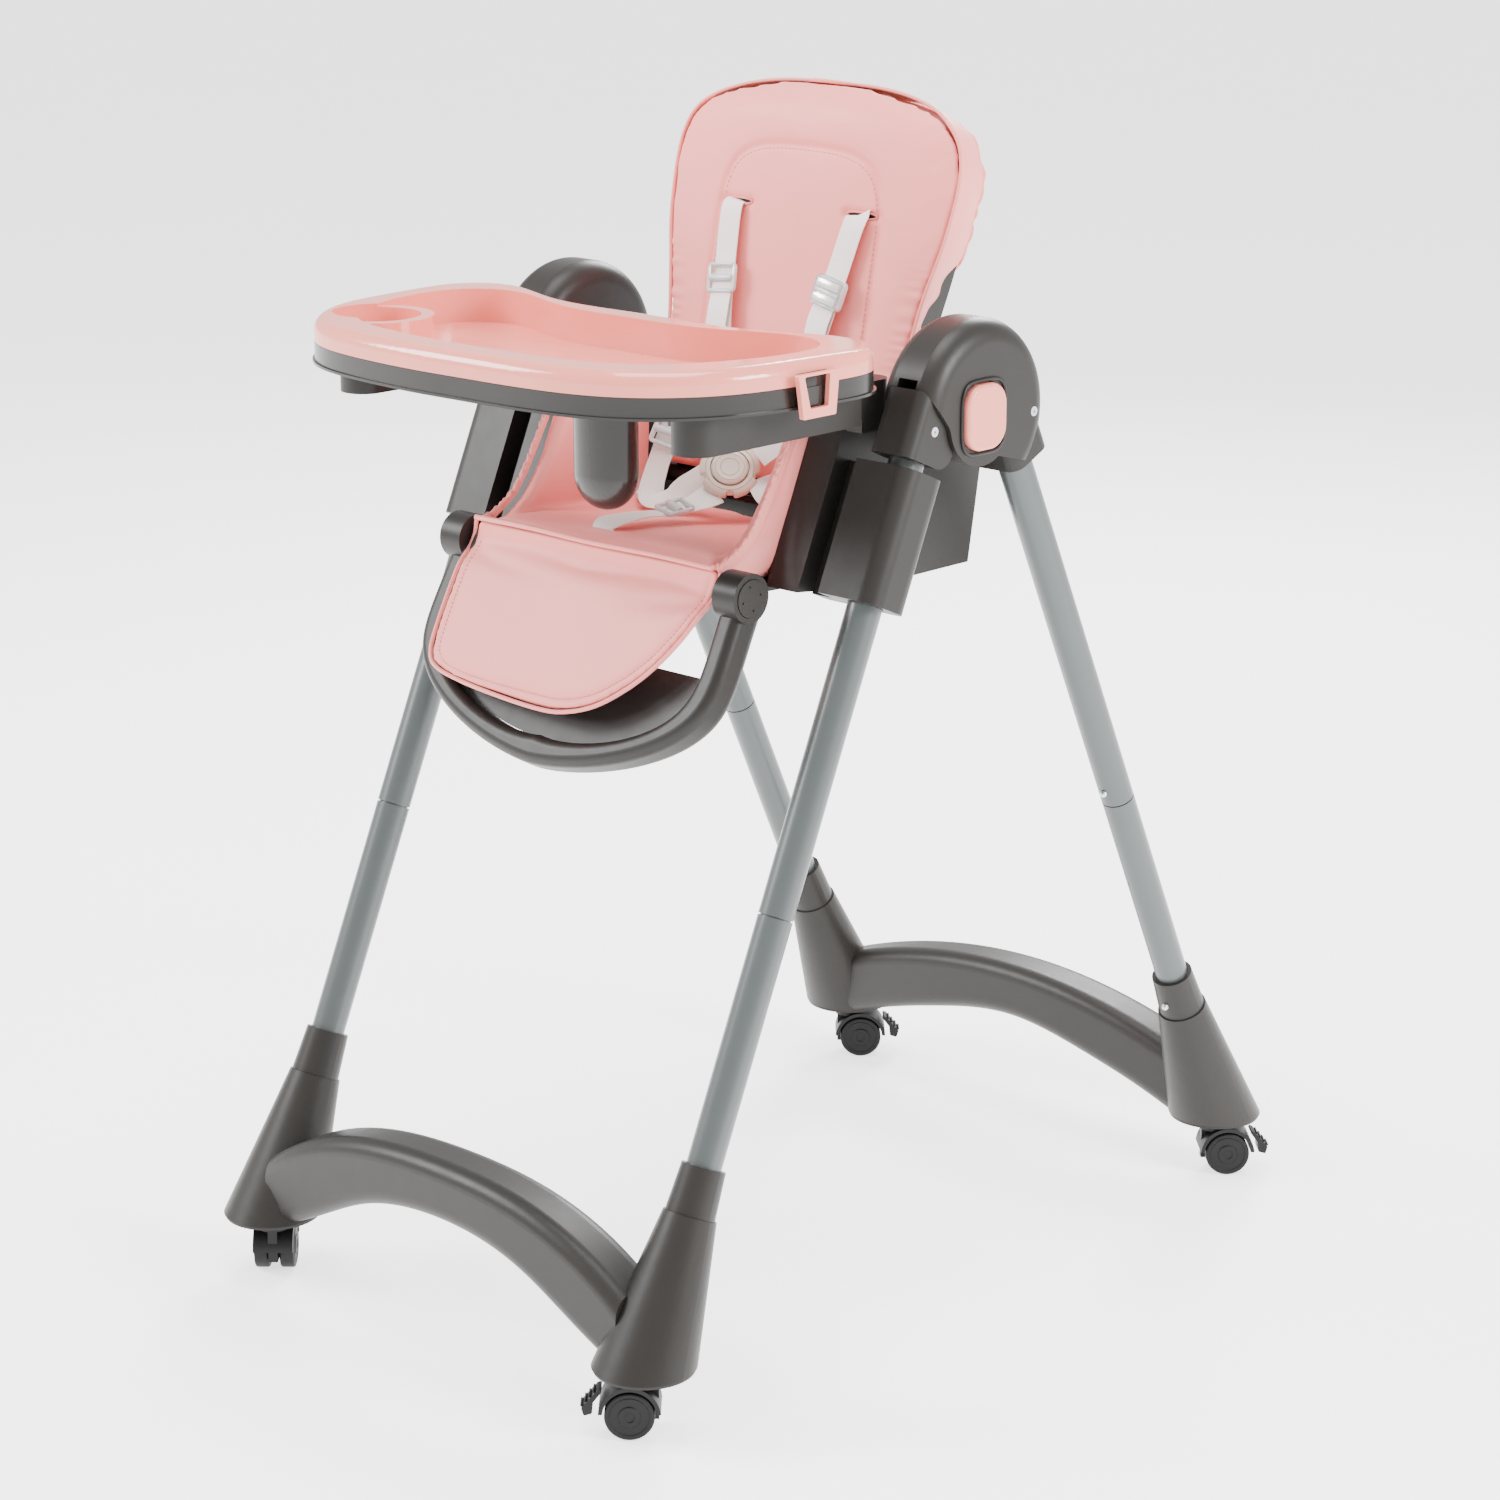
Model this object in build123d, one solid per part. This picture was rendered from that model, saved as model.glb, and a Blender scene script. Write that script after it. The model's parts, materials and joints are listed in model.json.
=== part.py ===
"""Folding baby high chair, one STEP file per piece.

Millimetres, +Z up, front of the chair towards -Y, the child's left towards +X.
The origin is on the floor, midway between the four casters.
"""
from build123d import *
import math
import os

# ---------------------------------------------------------------- driving sizes
LEG_X = 236.0            # half the distance between the left and right legs
FOOT_Y = 389.0           # caster stem distance in front of and behind the origin
BASE_Z = 60.0            # underside of the plastic feet
BASE_R = 44.0            # radius of each foot's round base

HUB_Y = -8.0             # fold pivot
HUB_Z = 797.0
FRONT_LEAN = 23.8        # degrees from vertical
REAR_LEAN = 25.3
FRONT_OFFSET = 48.0      # front tube axis ahead of the fold pivot
REAR_OFFSET = 44.0       # rear tube axis behind the fold pivot

TUBE_R = 15.0            # painted steel tube
TUBE_WALL = 1.6
TUBE_SEAM = 448.0        # pivot level down to the seam between upper and lower tube
SEAM_GAP = 1.2
SPIGOT_LENGTH = 46.0
SPIGOT_CLEARANCE = 0.25
TUBE_END_IN_FOOT = 744.0
COLLAR_TOP = 660.0       # pivot level down to the collar's top and the foot's seam
COLLAR_SEAM = 701.0
COLLAR_TOP_R = 19.0
COLLAR_SEAM_R = 21.5
FOOT_SEAM_R = 23.0
SOCKET_CLEARANCE = 0.3
PIN_R = 3.6
PIN_DROP = 16.0

BEAM_DEPTH = 54.0        # foot beam, front to back
BEAM_TOP = 176.0
BEAM_UNDER = 122.0
REAR_BEAM_DROP = 17.0    # the rear arch is lower than the front one
CAP_THICKNESS = 4.0

HUB_INNER_X = LEG_X - 33.0    # round hub casing between these two planes
HUB_OUTER_X = LEG_X + 26.0
HUB_R = 80.0
HUB_SHIFT = 8.0          # centre of the round casing behind the pivot
LOBE_R = 42.0            # casing round the fold button
SEAM_R = 72.0            # casing where the seam with the bracket starts
SEAM_FROM = 156.0
SEAM_TO = 192.0
ARM_X = (LEG_X - 11.0, LEG_X + 7.0)   # slot plane of the front bracket's arm
ARM_CLEARANCE = 1.0
ARM_R = 38.0             # round end of the arm about the pivot
PIVOT_R = 9.0
PIVOT_CLEARANCE = 0.3
AXLE_HEAD_R = 13.0
BRACKET_X = (LEG_X - 23.0, LEG_X + 22.0)
BRACKET_HALF = 27.0
BRACKET_DROP = 56.0      # pivot level down to the bracket's lower end
BRACKET_GRIP = 22.0      # length of tube inside the bracket
SOCKET_DROP = 72.0       # pivot level down to the rear socket's lower end
SOCKET_GRIP = 41.0       # length of tube inside the socket
SOCKET_HALF = 24.0
CASING_GAP = 0.8
HUB_SCREWS = {           # front and rear: outer face, below the pivot, behind the tube's axis
    -1: (BRACKET_X[1], 28.0, -1.0),
    1: (HUB_OUTER_X, 33.5, 15.0),
}
CASING_ROUND = 20.0
SOCKET_ROUND = 12.0

BUTTON_WIDTH = 50.0
BUTTON_HEIGHT = 56.0
BUTTON_CORNER = 19.0
BUTTON_FACE_X = LEG_X + 32.0
BUTTON_INNER_X = LEG_X + 13.0
BUTTON_CLEARANCE = 0.9

SLEEVE_INNER_X = HUB_INNER_X   # height slider on the front tube
SLEEVE_OUTER_X = HUB_OUTER_X
SLEEVE_TOP = 64.0        # pivot level down to the sleeve's top and bottom
SLEEVE_BOTTOM = 180.0
SLEEVE_HALF = 24.0
SLEEVE_CLEARANCE = 0.5

LEVER_X = (LEG_X - 24.0, LEG_X - 10.0) # squeeze lever behind the slider
LEVER_CHEEKS = (LEG_X - 30.0, LEG_X - 6.8)   # bracket cheeks either side of the lever
LEVER_GAP = 0.6
LEVER_PIVOT = (37.0, 26.0)
LEVER_PIN_R = 2.4

SIDE_OUTER_X = 181.0     # seat side boxes
SIDE_INNER_X = 146.0
SIDE_WALL = 3.0
SEAT_TOP = 683.0         # upper surface of the seat cushion at its front
SEAT_FRONT_Y = -208.0
SEAT_REAR_Y = -8.0
SEAT_DROP = 10.0         # the seat falls this much towards the back
CUSHION = 22.0
SEAT_HALF = 143.0
WING = 15.0              # thickness of the seat's upholstered sides
PAN_THICKNESS = 6.0
EAR_X = (143.6, 149.0)   # ears under the seat that carry the footrest
FLANGE_X = HUB_INNER_X - 3.0  # outer edge of the side box's top flange

ARMREST_X = 199.0
ARMREST_WIDTH = 40.0
ARMREST_FRONT_Y = -305.0
ARMREST_REAR_Y = -50.0
ARMREST_UNDER_Z = 798.0
ARMREST_TOP_Z = 828.0

TRAY_Z = 831.0           # underside of the lower tray
TRAY_BAND = 18.0
TRAY_HALF = 252.0
TRAY_FRONT_Y = -380.0
TRAY_REAR_Y = -104.0
TRAY_WAIST_Y = -133.0
TRAY_WALL = 3.0
TRAY_RIM = 20.0          # upper tray's height above the band
TRAY_GAP = 0.4
RIM_WIDTH = 28.0
CUP_X = -178.0
CUP_Y = -287.0
CUP_R = 38.0
CUP_RING = 49.0
CUP_DROP = 3.0           # the ring stands this much lower than the rim
CUP_WALL = 3.0

RECLINE_Y = 20.0         # backrest pivot
RECLINE_Z = 690.0
PIN_BORE = 5.3           # bearing of the backrest pins in the side boxes
BACK_LEAN = 10.76
BACK_FRONT = 21.8        # cushion face ahead of the pivot
BACK_TOP = 362.0         # cushion top above the pivot, along the back
BACK_CUSHION = 24.0
SHELL_GAP = 0.5
SHELL_DEPTH = 24.0

FOOTREST_Y = -200.0      # footrest pivot
FOOTREST_Z = 661.0
FOOTREST_LEAN = 28.8
FOOTREST_HALF = 178.0
FOOTREST_LENGTH = 179.0
FOOTREST_ARM = 25.0
FOOTREST_DEPTH = 30.0
FOOTREST_FRONT = -5.0    # front face of the bar, measured from the pivot
CALF_HALF = 146.0
CALF_START = 24.0
CALF_END = 128.0
CALF_THICKNESS = 9.0
CALF_GAP = 1.0

WHEEL_R = 21.0
WHEEL_WIDTH = 13.0
WHEEL_GAP = 10.0
TRAIL = 12.0             # wheel axle behind the swivel stem
STEM_R = 5.0
AXLE_R = 3.0
CASTERS = {              # caster: (side, front or rear, direction of its brake lever)
    "front_left": (1, -1, 223.0),
    "front_right": (-1, -1, 133.0),
    "rear_left": (1, 1, 45.0),
    "rear_right": (-1, 1, 43.0),
}
SIDES = {"left": 1, "right": -1}


# ---------------------------------------------------------------- helpers
def save(shape, node):
    """Write one node's STEP file."""
    shape.label = node
    export_step(shape, f"parts/{node}.step")


def group(shapes):
    """Several separate solids as one shape."""
    solids = []
    for shape in shapes:
        solids.extend(shape.solids())
    return Compound(children=solids)


def mirrored(shape, side):
    """The shape itself on the left, its mirror image on the right."""
    return shape if side > 0 else mirror(shape, about=Plane.YZ)


def leg_plane(x, lean_sign, drop=0.0):
    """Plane square to a leg's axis, `drop` below the fold pivot.

    Its local X is the chair's X, local Y points rearwards and local Z up the leg.
    """
    lean = math.radians(FRONT_LEAN if lean_sign < 0 else REAR_LEAN)
    offset = FRONT_OFFSET if lean_sign < 0 else REAR_OFFSET
    up = Vector(0, -lean_sign * math.sin(lean), math.cos(lean))
    back = Vector(0, math.cos(lean), lean_sign * math.sin(lean))
    centre = Vector(x, HUB_Y, HUB_Z) + back * (lean_sign * offset) - up * drop
    return Plane(origin=centre, x_dir=(1, 0, 0), z_dir=up)


def ring(outer, inner, height):
    """Round tube standing on the local XY plane."""
    centred = (Align.CENTER, Align.CENTER, Align.MIN)
    return Cylinder(outer, height, align=centred) - Cylinder(inner, height, align=centred)


def rod(radius, height):
    """Round bar standing on the local XY plane."""
    return Cylinder(radius, height, align=(Align.CENTER, Align.CENTER, Align.MIN))


def block(x_range, y_range, z_range):
    """Box between two corners."""
    low = (x_range[0], y_range[0], z_range[0])
    size = (x_range[1] - x_range[0], y_range[1] - y_range[0], z_range[1] - z_range[0])
    return Pos(*low) * Box(*size, align=(Align.MIN, Align.MIN, Align.MIN))


def side_profile(points, x_range):
    """Extrude a closed outline given as (y, z) points from one X plane to another."""
    face = make_face(Polyline([(x_range[0], y, z) for y, z in points], close=True))
    return extrude(face, x_range[1] - x_range[0], dir=(1, 0, 0))


def foot_pins(lean_sign):
    """Places of the snap pins: one above each tube seam and one in each collar."""
    places = []
    for side in SIDES.values():
        for drop in (TUBE_SEAM - PIN_DROP, COLLAR_SEAM - PIN_DROP):
            places.append((side * LEG_X, drop))
    return places


# ---------------------------------------------------------------- legs
def pin_hole(x, lean_sign, drop, radius, start, length):
    """A bar from the leg's axis towards the inside of the A-frame."""
    plane = leg_plane(x, lean_sign, drop)
    turned = Plane(origin=plane.origin, x_dir=plane.x_dir, z_dir=plane.y_dir * -lean_sign)
    return turned * Pos(0, 0, start) * rod(radius, length)


def lower_tube(side, lean_sign):
    """Tube from inside the foot to the seam, with a spigot that enters the upper tube."""
    x = side * LEG_X
    length = TUBE_END_IN_FOOT - TUBE_SEAM
    tube = leg_plane(x, lean_sign, TUBE_END_IN_FOOT) * ring(TUBE_R, TUBE_R - TUBE_WALL, length)
    spigot_r = TUBE_R - TUBE_WALL - SPIGOT_CLEARANCE
    base = leg_plane(x, lean_sign, TUBE_SEAM + SPIGOT_LENGTH / 2)
    spigot = base * ring(spigot_r, spigot_r - TUBE_WALL, SPIGOT_LENGTH)
    step = base * ring(TUBE_R - TUBE_WALL / 2, spigot_r - TUBE_WALL, SPIGOT_LENGTH / 2)
    tube = tube + spigot + step
    for drop in (TUBE_SEAM - PIN_DROP, COLLAR_SEAM - PIN_DROP):
        tube = tube - pin_hole(x, lean_sign, drop, PIN_R, 0, TUBE_R + 2)
    return tube


def upper_tube(side, lean_sign):
    """Tube from the seam up into the hub casing."""
    x = side * LEG_X
    top = BRACKET_DROP - BRACKET_GRIP if lean_sign < 0 else SOCKET_DROP - SOCKET_GRIP
    length = TUBE_SEAM - SEAM_GAP - top
    tube = leg_plane(x, lean_sign, TUBE_SEAM - SEAM_GAP) * ring(TUBE_R, TUBE_R - TUBE_WALL, length)
    return tube - pin_hole(x, lean_sign, TUBE_SEAM - PIN_DROP, PIN_R, 0, TUBE_R + 2)


def collar(side, lean_sign):
    """Tapered sleeve that locks the tube into the foot."""
    height = COLLAR_SEAM - COLLAR_TOP
    plane = leg_plane(side * LEG_X, lean_sign, COLLAR_SEAM)
    cone = plane * Cone(COLLAR_SEAM_R, COLLAR_TOP_R, height,
                        align=(Align.CENTER, Align.CENTER, Align.MIN))
    cone = cone - plane * Pos(0, 0, -1) * rod(TUBE_R + SOCKET_CLEARANCE, height + 2)
    return cone - pin_hole(side * LEG_X, lean_sign, COLLAR_SEAM - PIN_DROP, PIN_R, 0, 40)


def snap_pins(lean_sign):
    """Sprung steel pins with domed ends, one solid each."""
    pins = []
    for x, drop in foot_pins(lean_sign):
        reach = TUBE_R if drop < COLLAR_TOP else COLLAR_SEAM_R - 1
        stem = pin_hole(x, lean_sign, drop, PIN_R - 0.1, TUBE_R - 8, reach - TUBE_R + 8.5)
        plane = leg_plane(x, lean_sign, drop)
        tip = plane.origin + plane.y_dir * (-lean_sign) * (reach + 0.5)
        pins.append(stem + Pos(*tip) * Sphere(PIN_R - 0.1))
    return pins


def arch(front, back, drop=0.0):
    """Curved beam between the two feet, `drop` lower at its middle."""
    end_x = LEG_X - 14.0
    top_mid = BEAM_TOP - drop
    low_mid = BEAM_UNDER - drop
    top = Spline([(-end_x, front, 118), (-120, front, top_mid - 12), (0, front, top_mid),
                  (120, front, top_mid - 12), (end_x, front, 118)])
    low = Spline([(LEG_X - 38, front, BASE_Z), (LEG_X - 76, front, 78 - drop * 0.3),
                  (100, front, low_mid - 16), (0, front, low_mid), (-100, front, low_mid - 16),
                  (76 - LEG_X, front, 78 - drop * 0.3), (38 - LEG_X, front, BASE_Z)])
    ends = [Line((end_x, front, 118), (end_x, front, BASE_Z)),
            Line((end_x, front, BASE_Z), (LEG_X - 38, front, BASE_Z)),
            Line((38 - LEG_X, front, BASE_Z), (-end_x, front, BASE_Z)),
            Line((-end_x, front, BASE_Z), (-end_x, front, 118))]
    return extrude(make_face([top, low] + ends), back - front, dir=(0, 1, 0))


def foot(lean_sign):
    """One moulded foot: two cone sockets joined by an arched beam."""
    middle = lean_sign * (FOOT_Y - 8.0)
    drop = REAR_BEAM_DROP if lean_sign > 0 else 0.0
    beam = arch(middle - BEAM_DEPTH / 2, middle + BEAM_DEPTH / 2, drop)
    long_edges = [e for e in beam.edges() if e.length > 300]
    beam = fillet(long_edges, 15.0)
    body = beam
    for side in SIDES.values():
        seam = leg_plane(side * LEG_X, lean_sign, COLLAR_SEAM)
        base = Plane(origin=(side * LEG_X, lean_sign * FOOT_Y, BASE_Z), x_dir=(1, 0, 0), z_dir=(0, 0, 1))
        body = body + loft([base * Circle(BASE_R), seam * Circle(FOOT_SEAM_R)])
    for side in SIDES.values():
        bore = leg_plane(side * LEG_X, lean_sign, TUBE_END_IN_FOOT + 2)
        body = body - bore * rod(TUBE_R + SOCKET_CLEARANCE, 60)
        recess = Pos(side * LEG_X, lean_sign * FOOT_Y, BASE_Z) * rod(BASE_R - 4, CAP_THICKNESS)
        stem_hole = Pos(side * LEG_X, lean_sign * FOOT_Y, BASE_Z) * rod(STEM_R + 0.2, 24)
        body = body - recess - stem_hole
    return body


def foot_caps(lean_sign):
    """Round plates that close the feet from below, each with the caster's hole."""
    caps = []
    for side in SIDES.values():
        place = Pos(side * LEG_X, lean_sign * FOOT_Y, BASE_Z - 3.0)
        plate = place * rod(BASE_R - 1.5, 3.0) + place * rod(BASE_R - 4.3, 3.0 + CAP_THICKNESS)
        caps.append(plate - place * rod(STEM_R + 0.2, 20))
    return caps


# ---------------------------------------------------------------- hubs
def hub_point(radius, angle):
    """Point of the hub's side view, by radius and angle from straight back."""
    a = math.radians(angle)
    return (HUB_Y + radius * math.cos(a), HUB_Z + radius * math.sin(a))


def seam_radius(angle):
    """Radius of the casing's front edge about the pivot: it only shrinks, so the fold never binds."""
    share = min(max((angle - SEAM_FROM) / (SEAM_TO - SEAM_FROM), 0.0), 1.0)
    return SEAM_R + (LOBE_R - SEAM_R) * math.sin(share * math.pi / 2)


def seam_points(extra, start, end, steps=8):
    """Points along that edge, moved outwards by `extra`."""
    points = []
    for i in range(steps + 1):
        angle = start + (end - start) * i / steps
        points.append(hub_point(seam_radius(angle) + extra, angle))
    return points


def hub_face(x):
    """Side view of the round casing: a dome above, the lobe of the button below."""
    centre = (HUB_Y + HUB_SHIFT, HUB_Z)
    start = Vector(x, *hub_point(SEAM_R, SEAM_FROM))
    top = Vector(x, centre[0], centre[1] + HUB_R)
    turn = math.radians(-38.0)
    end = Vector(x, centre[0] + HUB_R * math.cos(turn), centre[1] + HUB_R * math.sin(turn))
    lobe_left = Vector(x, *hub_point(LOBE_R, SEAM_TO))
    lobe_low = Vector(x, *hub_point(LOBE_R, 255.0))
    lobe_right = Vector(x, *hub_point(LOBE_R, 300.0))
    seam = [start]
    for angle in (162.0, 168.0, 175.0, 183.0):
        seam.append(Vector(x, *hub_point(seam_radius(angle), angle)))
    seam.append(lobe_left)
    edges = [ThreePointArc(start, top, end), Line(end, lobe_right),
             ThreePointArc(lobe_right, lobe_low, lobe_left), Spline(list(reversed(seam)))]
    return make_face(edges)


def hub_shell(side):
    """Round hub casing that carries the rear leg and holds the fold button."""
    depth = HUB_OUTER_X - HUB_INNER_X
    dome_plane = Plane(origin=(HUB_INNER_X, HUB_Y + HUB_SHIFT, HUB_Z), x_dir=(0, 1, 0), z_dir=(1, 0, 0))
    dome = dome_plane * rod(HUB_R, depth)
    dome = fillet(dome.edges().filter_by(GeomType.CIRCLE), CASING_ROUND)
    body = extrude(hub_face(HUB_INNER_X), depth, dir=(1, 0, 0)) & dome
    socket_plane = leg_plane(LEG_X, 1, SOCKET_DROP)
    x_low = HUB_INNER_X + 4 - LEG_X
    x_high = HUB_OUTER_X - 2 - LEG_X
    socket = socket_plane * block((x_low, x_high), (-SOCKET_HALF, SOCKET_HALF), (0, SOCKET_DROP))
    socket = fillet([e for e in socket.edges() if abs(e.length - SOCKET_DROP) < 0.1], SOCKET_ROUND)
    body = body + socket
    x0 = ARM_X[0] - ARM_CLEARANCE
    width = ARM_X[1] - ARM_X[0] + 2 * ARM_CLEARANCE
    turned = Plane(origin=(x0, HUB_Y, HUB_Z), x_dir=(0, 1, 0), z_dir=(1, 0, 0))
    wedge = [(HUB_Y, HUB_Z)]
    for angle in (150.0, 180.0, 215.0, 250.0, 285.0):
        wedge.append(hub_point(140.0, angle))
    slot = turned * rod(ARM_R + ARM_CLEARANCE, width) + side_profile(wedge, (x0, x0 + width))
    pivot = Plane(origin=(HUB_INNER_X - 1, HUB_Y, HUB_Z), x_dir=(0, 1, 0), z_dir=(1, 0, 0))
    body = body - slot - button_block(BUTTON_CLEARANCE, ARM_X[1], HUB_OUTER_X + 2)
    body = body - pivot * rod(PIVOT_R + PIVOT_CLEARANCE, ARM_X[0] - HUB_INNER_X)
    body = body - pivot * rod(AXLE_HEAD_R + 0.5, 6.0)
    body = body - leg_plane(LEG_X, 1, SOCKET_DROP + 1) * rod(TUBE_R + 0.05, SOCKET_GRIP + 1.2)
    body = body - screw_axis(1, 2.4, 4.6, 4.0)
    return mirrored(body, side)


def button_block(grow, x_from, x_to):
    """Rounded rectangle of the fold button, grown by a clearance."""
    plane = Plane(origin=(x_from, HUB_Y, HUB_Z), x_dir=(0, 1, 0), z_dir=(1, 0, 0))
    sketch = RectangleRounded(BUTTON_WIDTH + 2 * grow, BUTTON_HEIGHT + 2 * grow, BUTTON_CORNER + grow)
    return extrude(plane * sketch, x_to - x_from)


def fold_button(side):
    """Button that is pressed inwards to let the frame fold."""
    body = button_block(0.0, BUTTON_INNER_X, BUTTON_FACE_X)
    rim = [e for e in body.edges() if abs(e.center().X - BUTTON_FACE_X) < 0.1]
    return mirrored(fillet(rim, 3.5), side)


def hub_bracket(side):
    """Front leg's casing with the arm that reaches the fold pivot."""
    plane = leg_plane(LEG_X, -1, BRACKET_DROP)
    x_low = BRACKET_X[0] - LEG_X
    x_high = BRACKET_X[1] - LEG_X
    tall = 110.0
    body = plane * block((x_low, x_high), (-BRACKET_HALF, BRACKET_HALF + 1), (0, tall))
    upright = [e for e in body.edges() if abs(e.length - tall) < 0.1]
    front_edges = sorted(upright, key=lambda e: plane.to_local_coords(e.center()).Y)[:2]
    body = fillet(front_edges, 12.0)
    width = x_high - x_low
    corner = []
    for edge in body.edges():
        spot = plane.to_local_coords(edge.center())
        if abs(edge.length - width) < 0.1 and spot.Z < 1 and spot.Y > 0:
            corner.append(edge)
    body = fillet(corner, 16.0)
    cut = [hub_point(HUB_R + 80, SEAM_FROM + 0.7)]
    cut = cut + seam_points(CASING_GAP, SEAM_FROM + 0.7, 250.0, 20)
    cut = cut + [hub_point(60.0, 280.0), hub_point(260.0, 330.0), hub_point(300.0, 60.0),
                 hub_point(300.0, 120.0)]
    body = body - side_profile(cut, (BRACKET_X[0] - 5, BRACKET_X[1] + 5))
    arm_plane = Plane(origin=(ARM_X[0], HUB_Y, HUB_Z), x_dir=(0, 1, 0), z_dir=(1, 0, 0))
    arm = arm_plane * rod(ARM_R, ARM_X[1] - ARM_X[0])
    web = [hub_point(ARM_R - 2, 162.0), hub_point(64.0, 176.0), hub_point(66.0, 195.0),
           hub_point(60.0, 214.0), hub_point(ARM_R - 2, 235.0), (HUB_Y, HUB_Z)]
    body = body + arm + side_profile(web, ARM_X)
    body = body - leg_plane(LEG_X, -1, BRACKET_DROP + 1) * rod(TUBE_R + 0.05, BRACKET_GRIP + 1.2)
    body = body - screw_axis(-1, 2.4, 4.6, 4.0)
    pivot = Plane(origin=(ARM_X[0] - 1, HUB_Y, HUB_Z), x_dir=(0, 1, 0), z_dir=(1, 0, 0))
    body = body - pivot * rod(PIVOT_R, 12)
    return mirrored(body, side)


def fold_axle(side):
    """Headed pin on which the rear casing turns."""
    plane = Plane(origin=(HUB_INNER_X + 1, HUB_Y, HUB_Z), x_dir=(0, 1, 0), z_dir=(1, 0, 0))
    pin = plane * rod(PIVOT_R, ARM_X[0] + 10 - HUB_INNER_X - 1)
    return mirrored(pin + plane * rod(AXLE_HEAD_R, 3.5), side)


def screw_axis(lean_sign, depth, radius, length):
    """Bar along a hub screw, starting `depth` under the casing's outer face."""
    face_x, drop, behind = HUB_SCREWS[lean_sign]
    spot = leg_plane(0, lean_sign, drop)
    centre = spot.origin + spot.y_dir * behind
    plane = Plane(origin=(face_x - depth, centre.Y, centre.Z), x_dir=(0, 1, 0), z_dir=(1, 0, 0))
    return plane * rod(radius, length)


def hub_screws(lean_sign):
    """Sunk screws in the outer face of the casings."""
    head = screw_axis(lean_sign, 2.4, 4.2, 2.0) - screw_axis(lean_sign, 1.4, 1.6, 2.0)
    return [mirrored(head, side) for side in SIDES.values()]


# ---------------------------------------------------------------- casters
def caster_place(name):
    """Location of a caster: local X points along its brake lever, Z = 0 on the floor."""
    side, end, heading = CASTERS[name]
    return Pos(side * LEG_X, end * FOOT_Y, 0) * Rot(0, 0, heading)


def caster_fork(name):
    """Hood with its stem, neck and axle."""
    hood = Pos(TRAIL, 0, WHEEL_R) * Rot(90, 0, 0) * Cylinder(WHEEL_R + 5, WHEEL_GAP + 2 * WHEEL_WIDTH)
    hollow = Pos(TRAIL, 0, WHEEL_R) * Rot(90, 0, 0) * Cylinder(WHEEL_R + 1.5, WHEEL_GAP + 2 * WHEEL_WIDTH + 2)
    keep = block((-30, 60), (-40, 40), (WHEEL_R + 2, 80))
    shell = (hood - hollow) & keep
    neck = block((-12, TRAIL + 8), (-WHEEL_GAP / 2 + 0.8, WHEEL_GAP / 2 - 0.8), (WHEEL_R - 8, WHEEL_R + 26))
    plate = Pos(0, 0, WHEEL_R + 22) * rod(14.0, BASE_Z - 4.2 - WHEEL_R - 22)
    stem = Pos(0, 0, WHEEL_R + 22) * rod(STEM_R, BASE_Z + 16 - WHEEL_R - 22)
    axle = Pos(TRAIL, 0, WHEEL_R) * Rot(90, 0, 0) * Cylinder(AXLE_R, WHEEL_GAP + 2 * WHEEL_WIDTH - 6)
    plate = plate - hollow
    return caster_place(name) * (shell + neck + plate + stem + axle)


def caster_wheels(name):
    """The two wheels of one caster."""
    wheels = []
    for sign in (1, -1):
        centre = sign * (WHEEL_GAP / 2 + WHEEL_WIDTH / 2)
        wheel = Cylinder(WHEEL_R, WHEEL_WIDTH)
        wheel = fillet(wheel.edges().filter_by(GeomType.CIRCLE), 2.0)
        wheel = wheel - Pos(0, 0, sign * WHEEL_WIDTH / 2) * Cylinder(AXLE_R + 0.1, 2 * WHEEL_WIDTH - 5.4)
        wheels.append(Pos(TRAIL, centre, WHEEL_R) * Rot(90, 0, 0) * wheel)
    return caster_place(name) * group(wheels)


def caster_brake(name):
    """Brake lever hinged on the back of the hood."""
    outline = [(TRAIL + 20, WHEEL_R + 22), (TRAIL + 27, WHEEL_R + 19), (TRAIL + 40, WHEEL_R + 4),
               (TRAIL + 38, WHEEL_R - 3), (TRAIL + 31, WHEEL_R - 1), (TRAIL + 30, WHEEL_R + 9)]
    face = make_face(Polyline([(x, -9, z) for x, z in outline], close=True))
    lever = extrude(face, 18, dir=(0, 1, 0))
    return caster_place(name) * fillet(lever.edges().filter_by(Axis.Y), 1.5)


# ---------------------------------------------------------------- seat
def sleeve():
    """Height slider round the front tube and its web to the side box."""
    plane = leg_plane(LEG_X, -1, SLEEVE_BOTTOM)
    height = SLEEVE_BOTTOM - SLEEVE_TOP
    x_low = SLEEVE_INNER_X - LEG_X
    x_high = SLEEVE_OUTER_X - LEG_X
    body = plane * block((x_low, x_high), (-SLEEVE_HALF, SLEEVE_HALF + 4), (0, height))
    upright = [e for e in body.edges() if abs(e.length - height) < 0.1]
    body = fillet(sorted(upright, key=lambda e: e.center().X)[2:], 16.0)
    web = plane * block((SIDE_OUTER_X - LEG_X - 1, x_low + 1), (-4, 18), (0, height))
    return body + web - plane * Pos(0, 0, -1) * rod(TUBE_R + SLEEVE_CLEARANCE, height + 2)


def side_outline(inset=0.0):
    """Side view of the seat's side box."""
    low = leg_plane(0, -1, SLEEVE_BOTTOM + 4)
    front_low = low.origin - low.y_dir * (SLEEVE_HALF - inset)
    top_z = ARMREST_UNDER_Z - inset
    slope = math.tan(math.radians(FRONT_LEAN))
    front_top_y = front_low.Y + (top_z - front_low.Z) * slope
    return [(front_low.Y, front_low.Z + inset), (front_top_y, top_z), (48 - inset, top_z),
            (88 - inset, 738), (72 - inset, 647 + inset), (-60, 647 + inset)]


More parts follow.
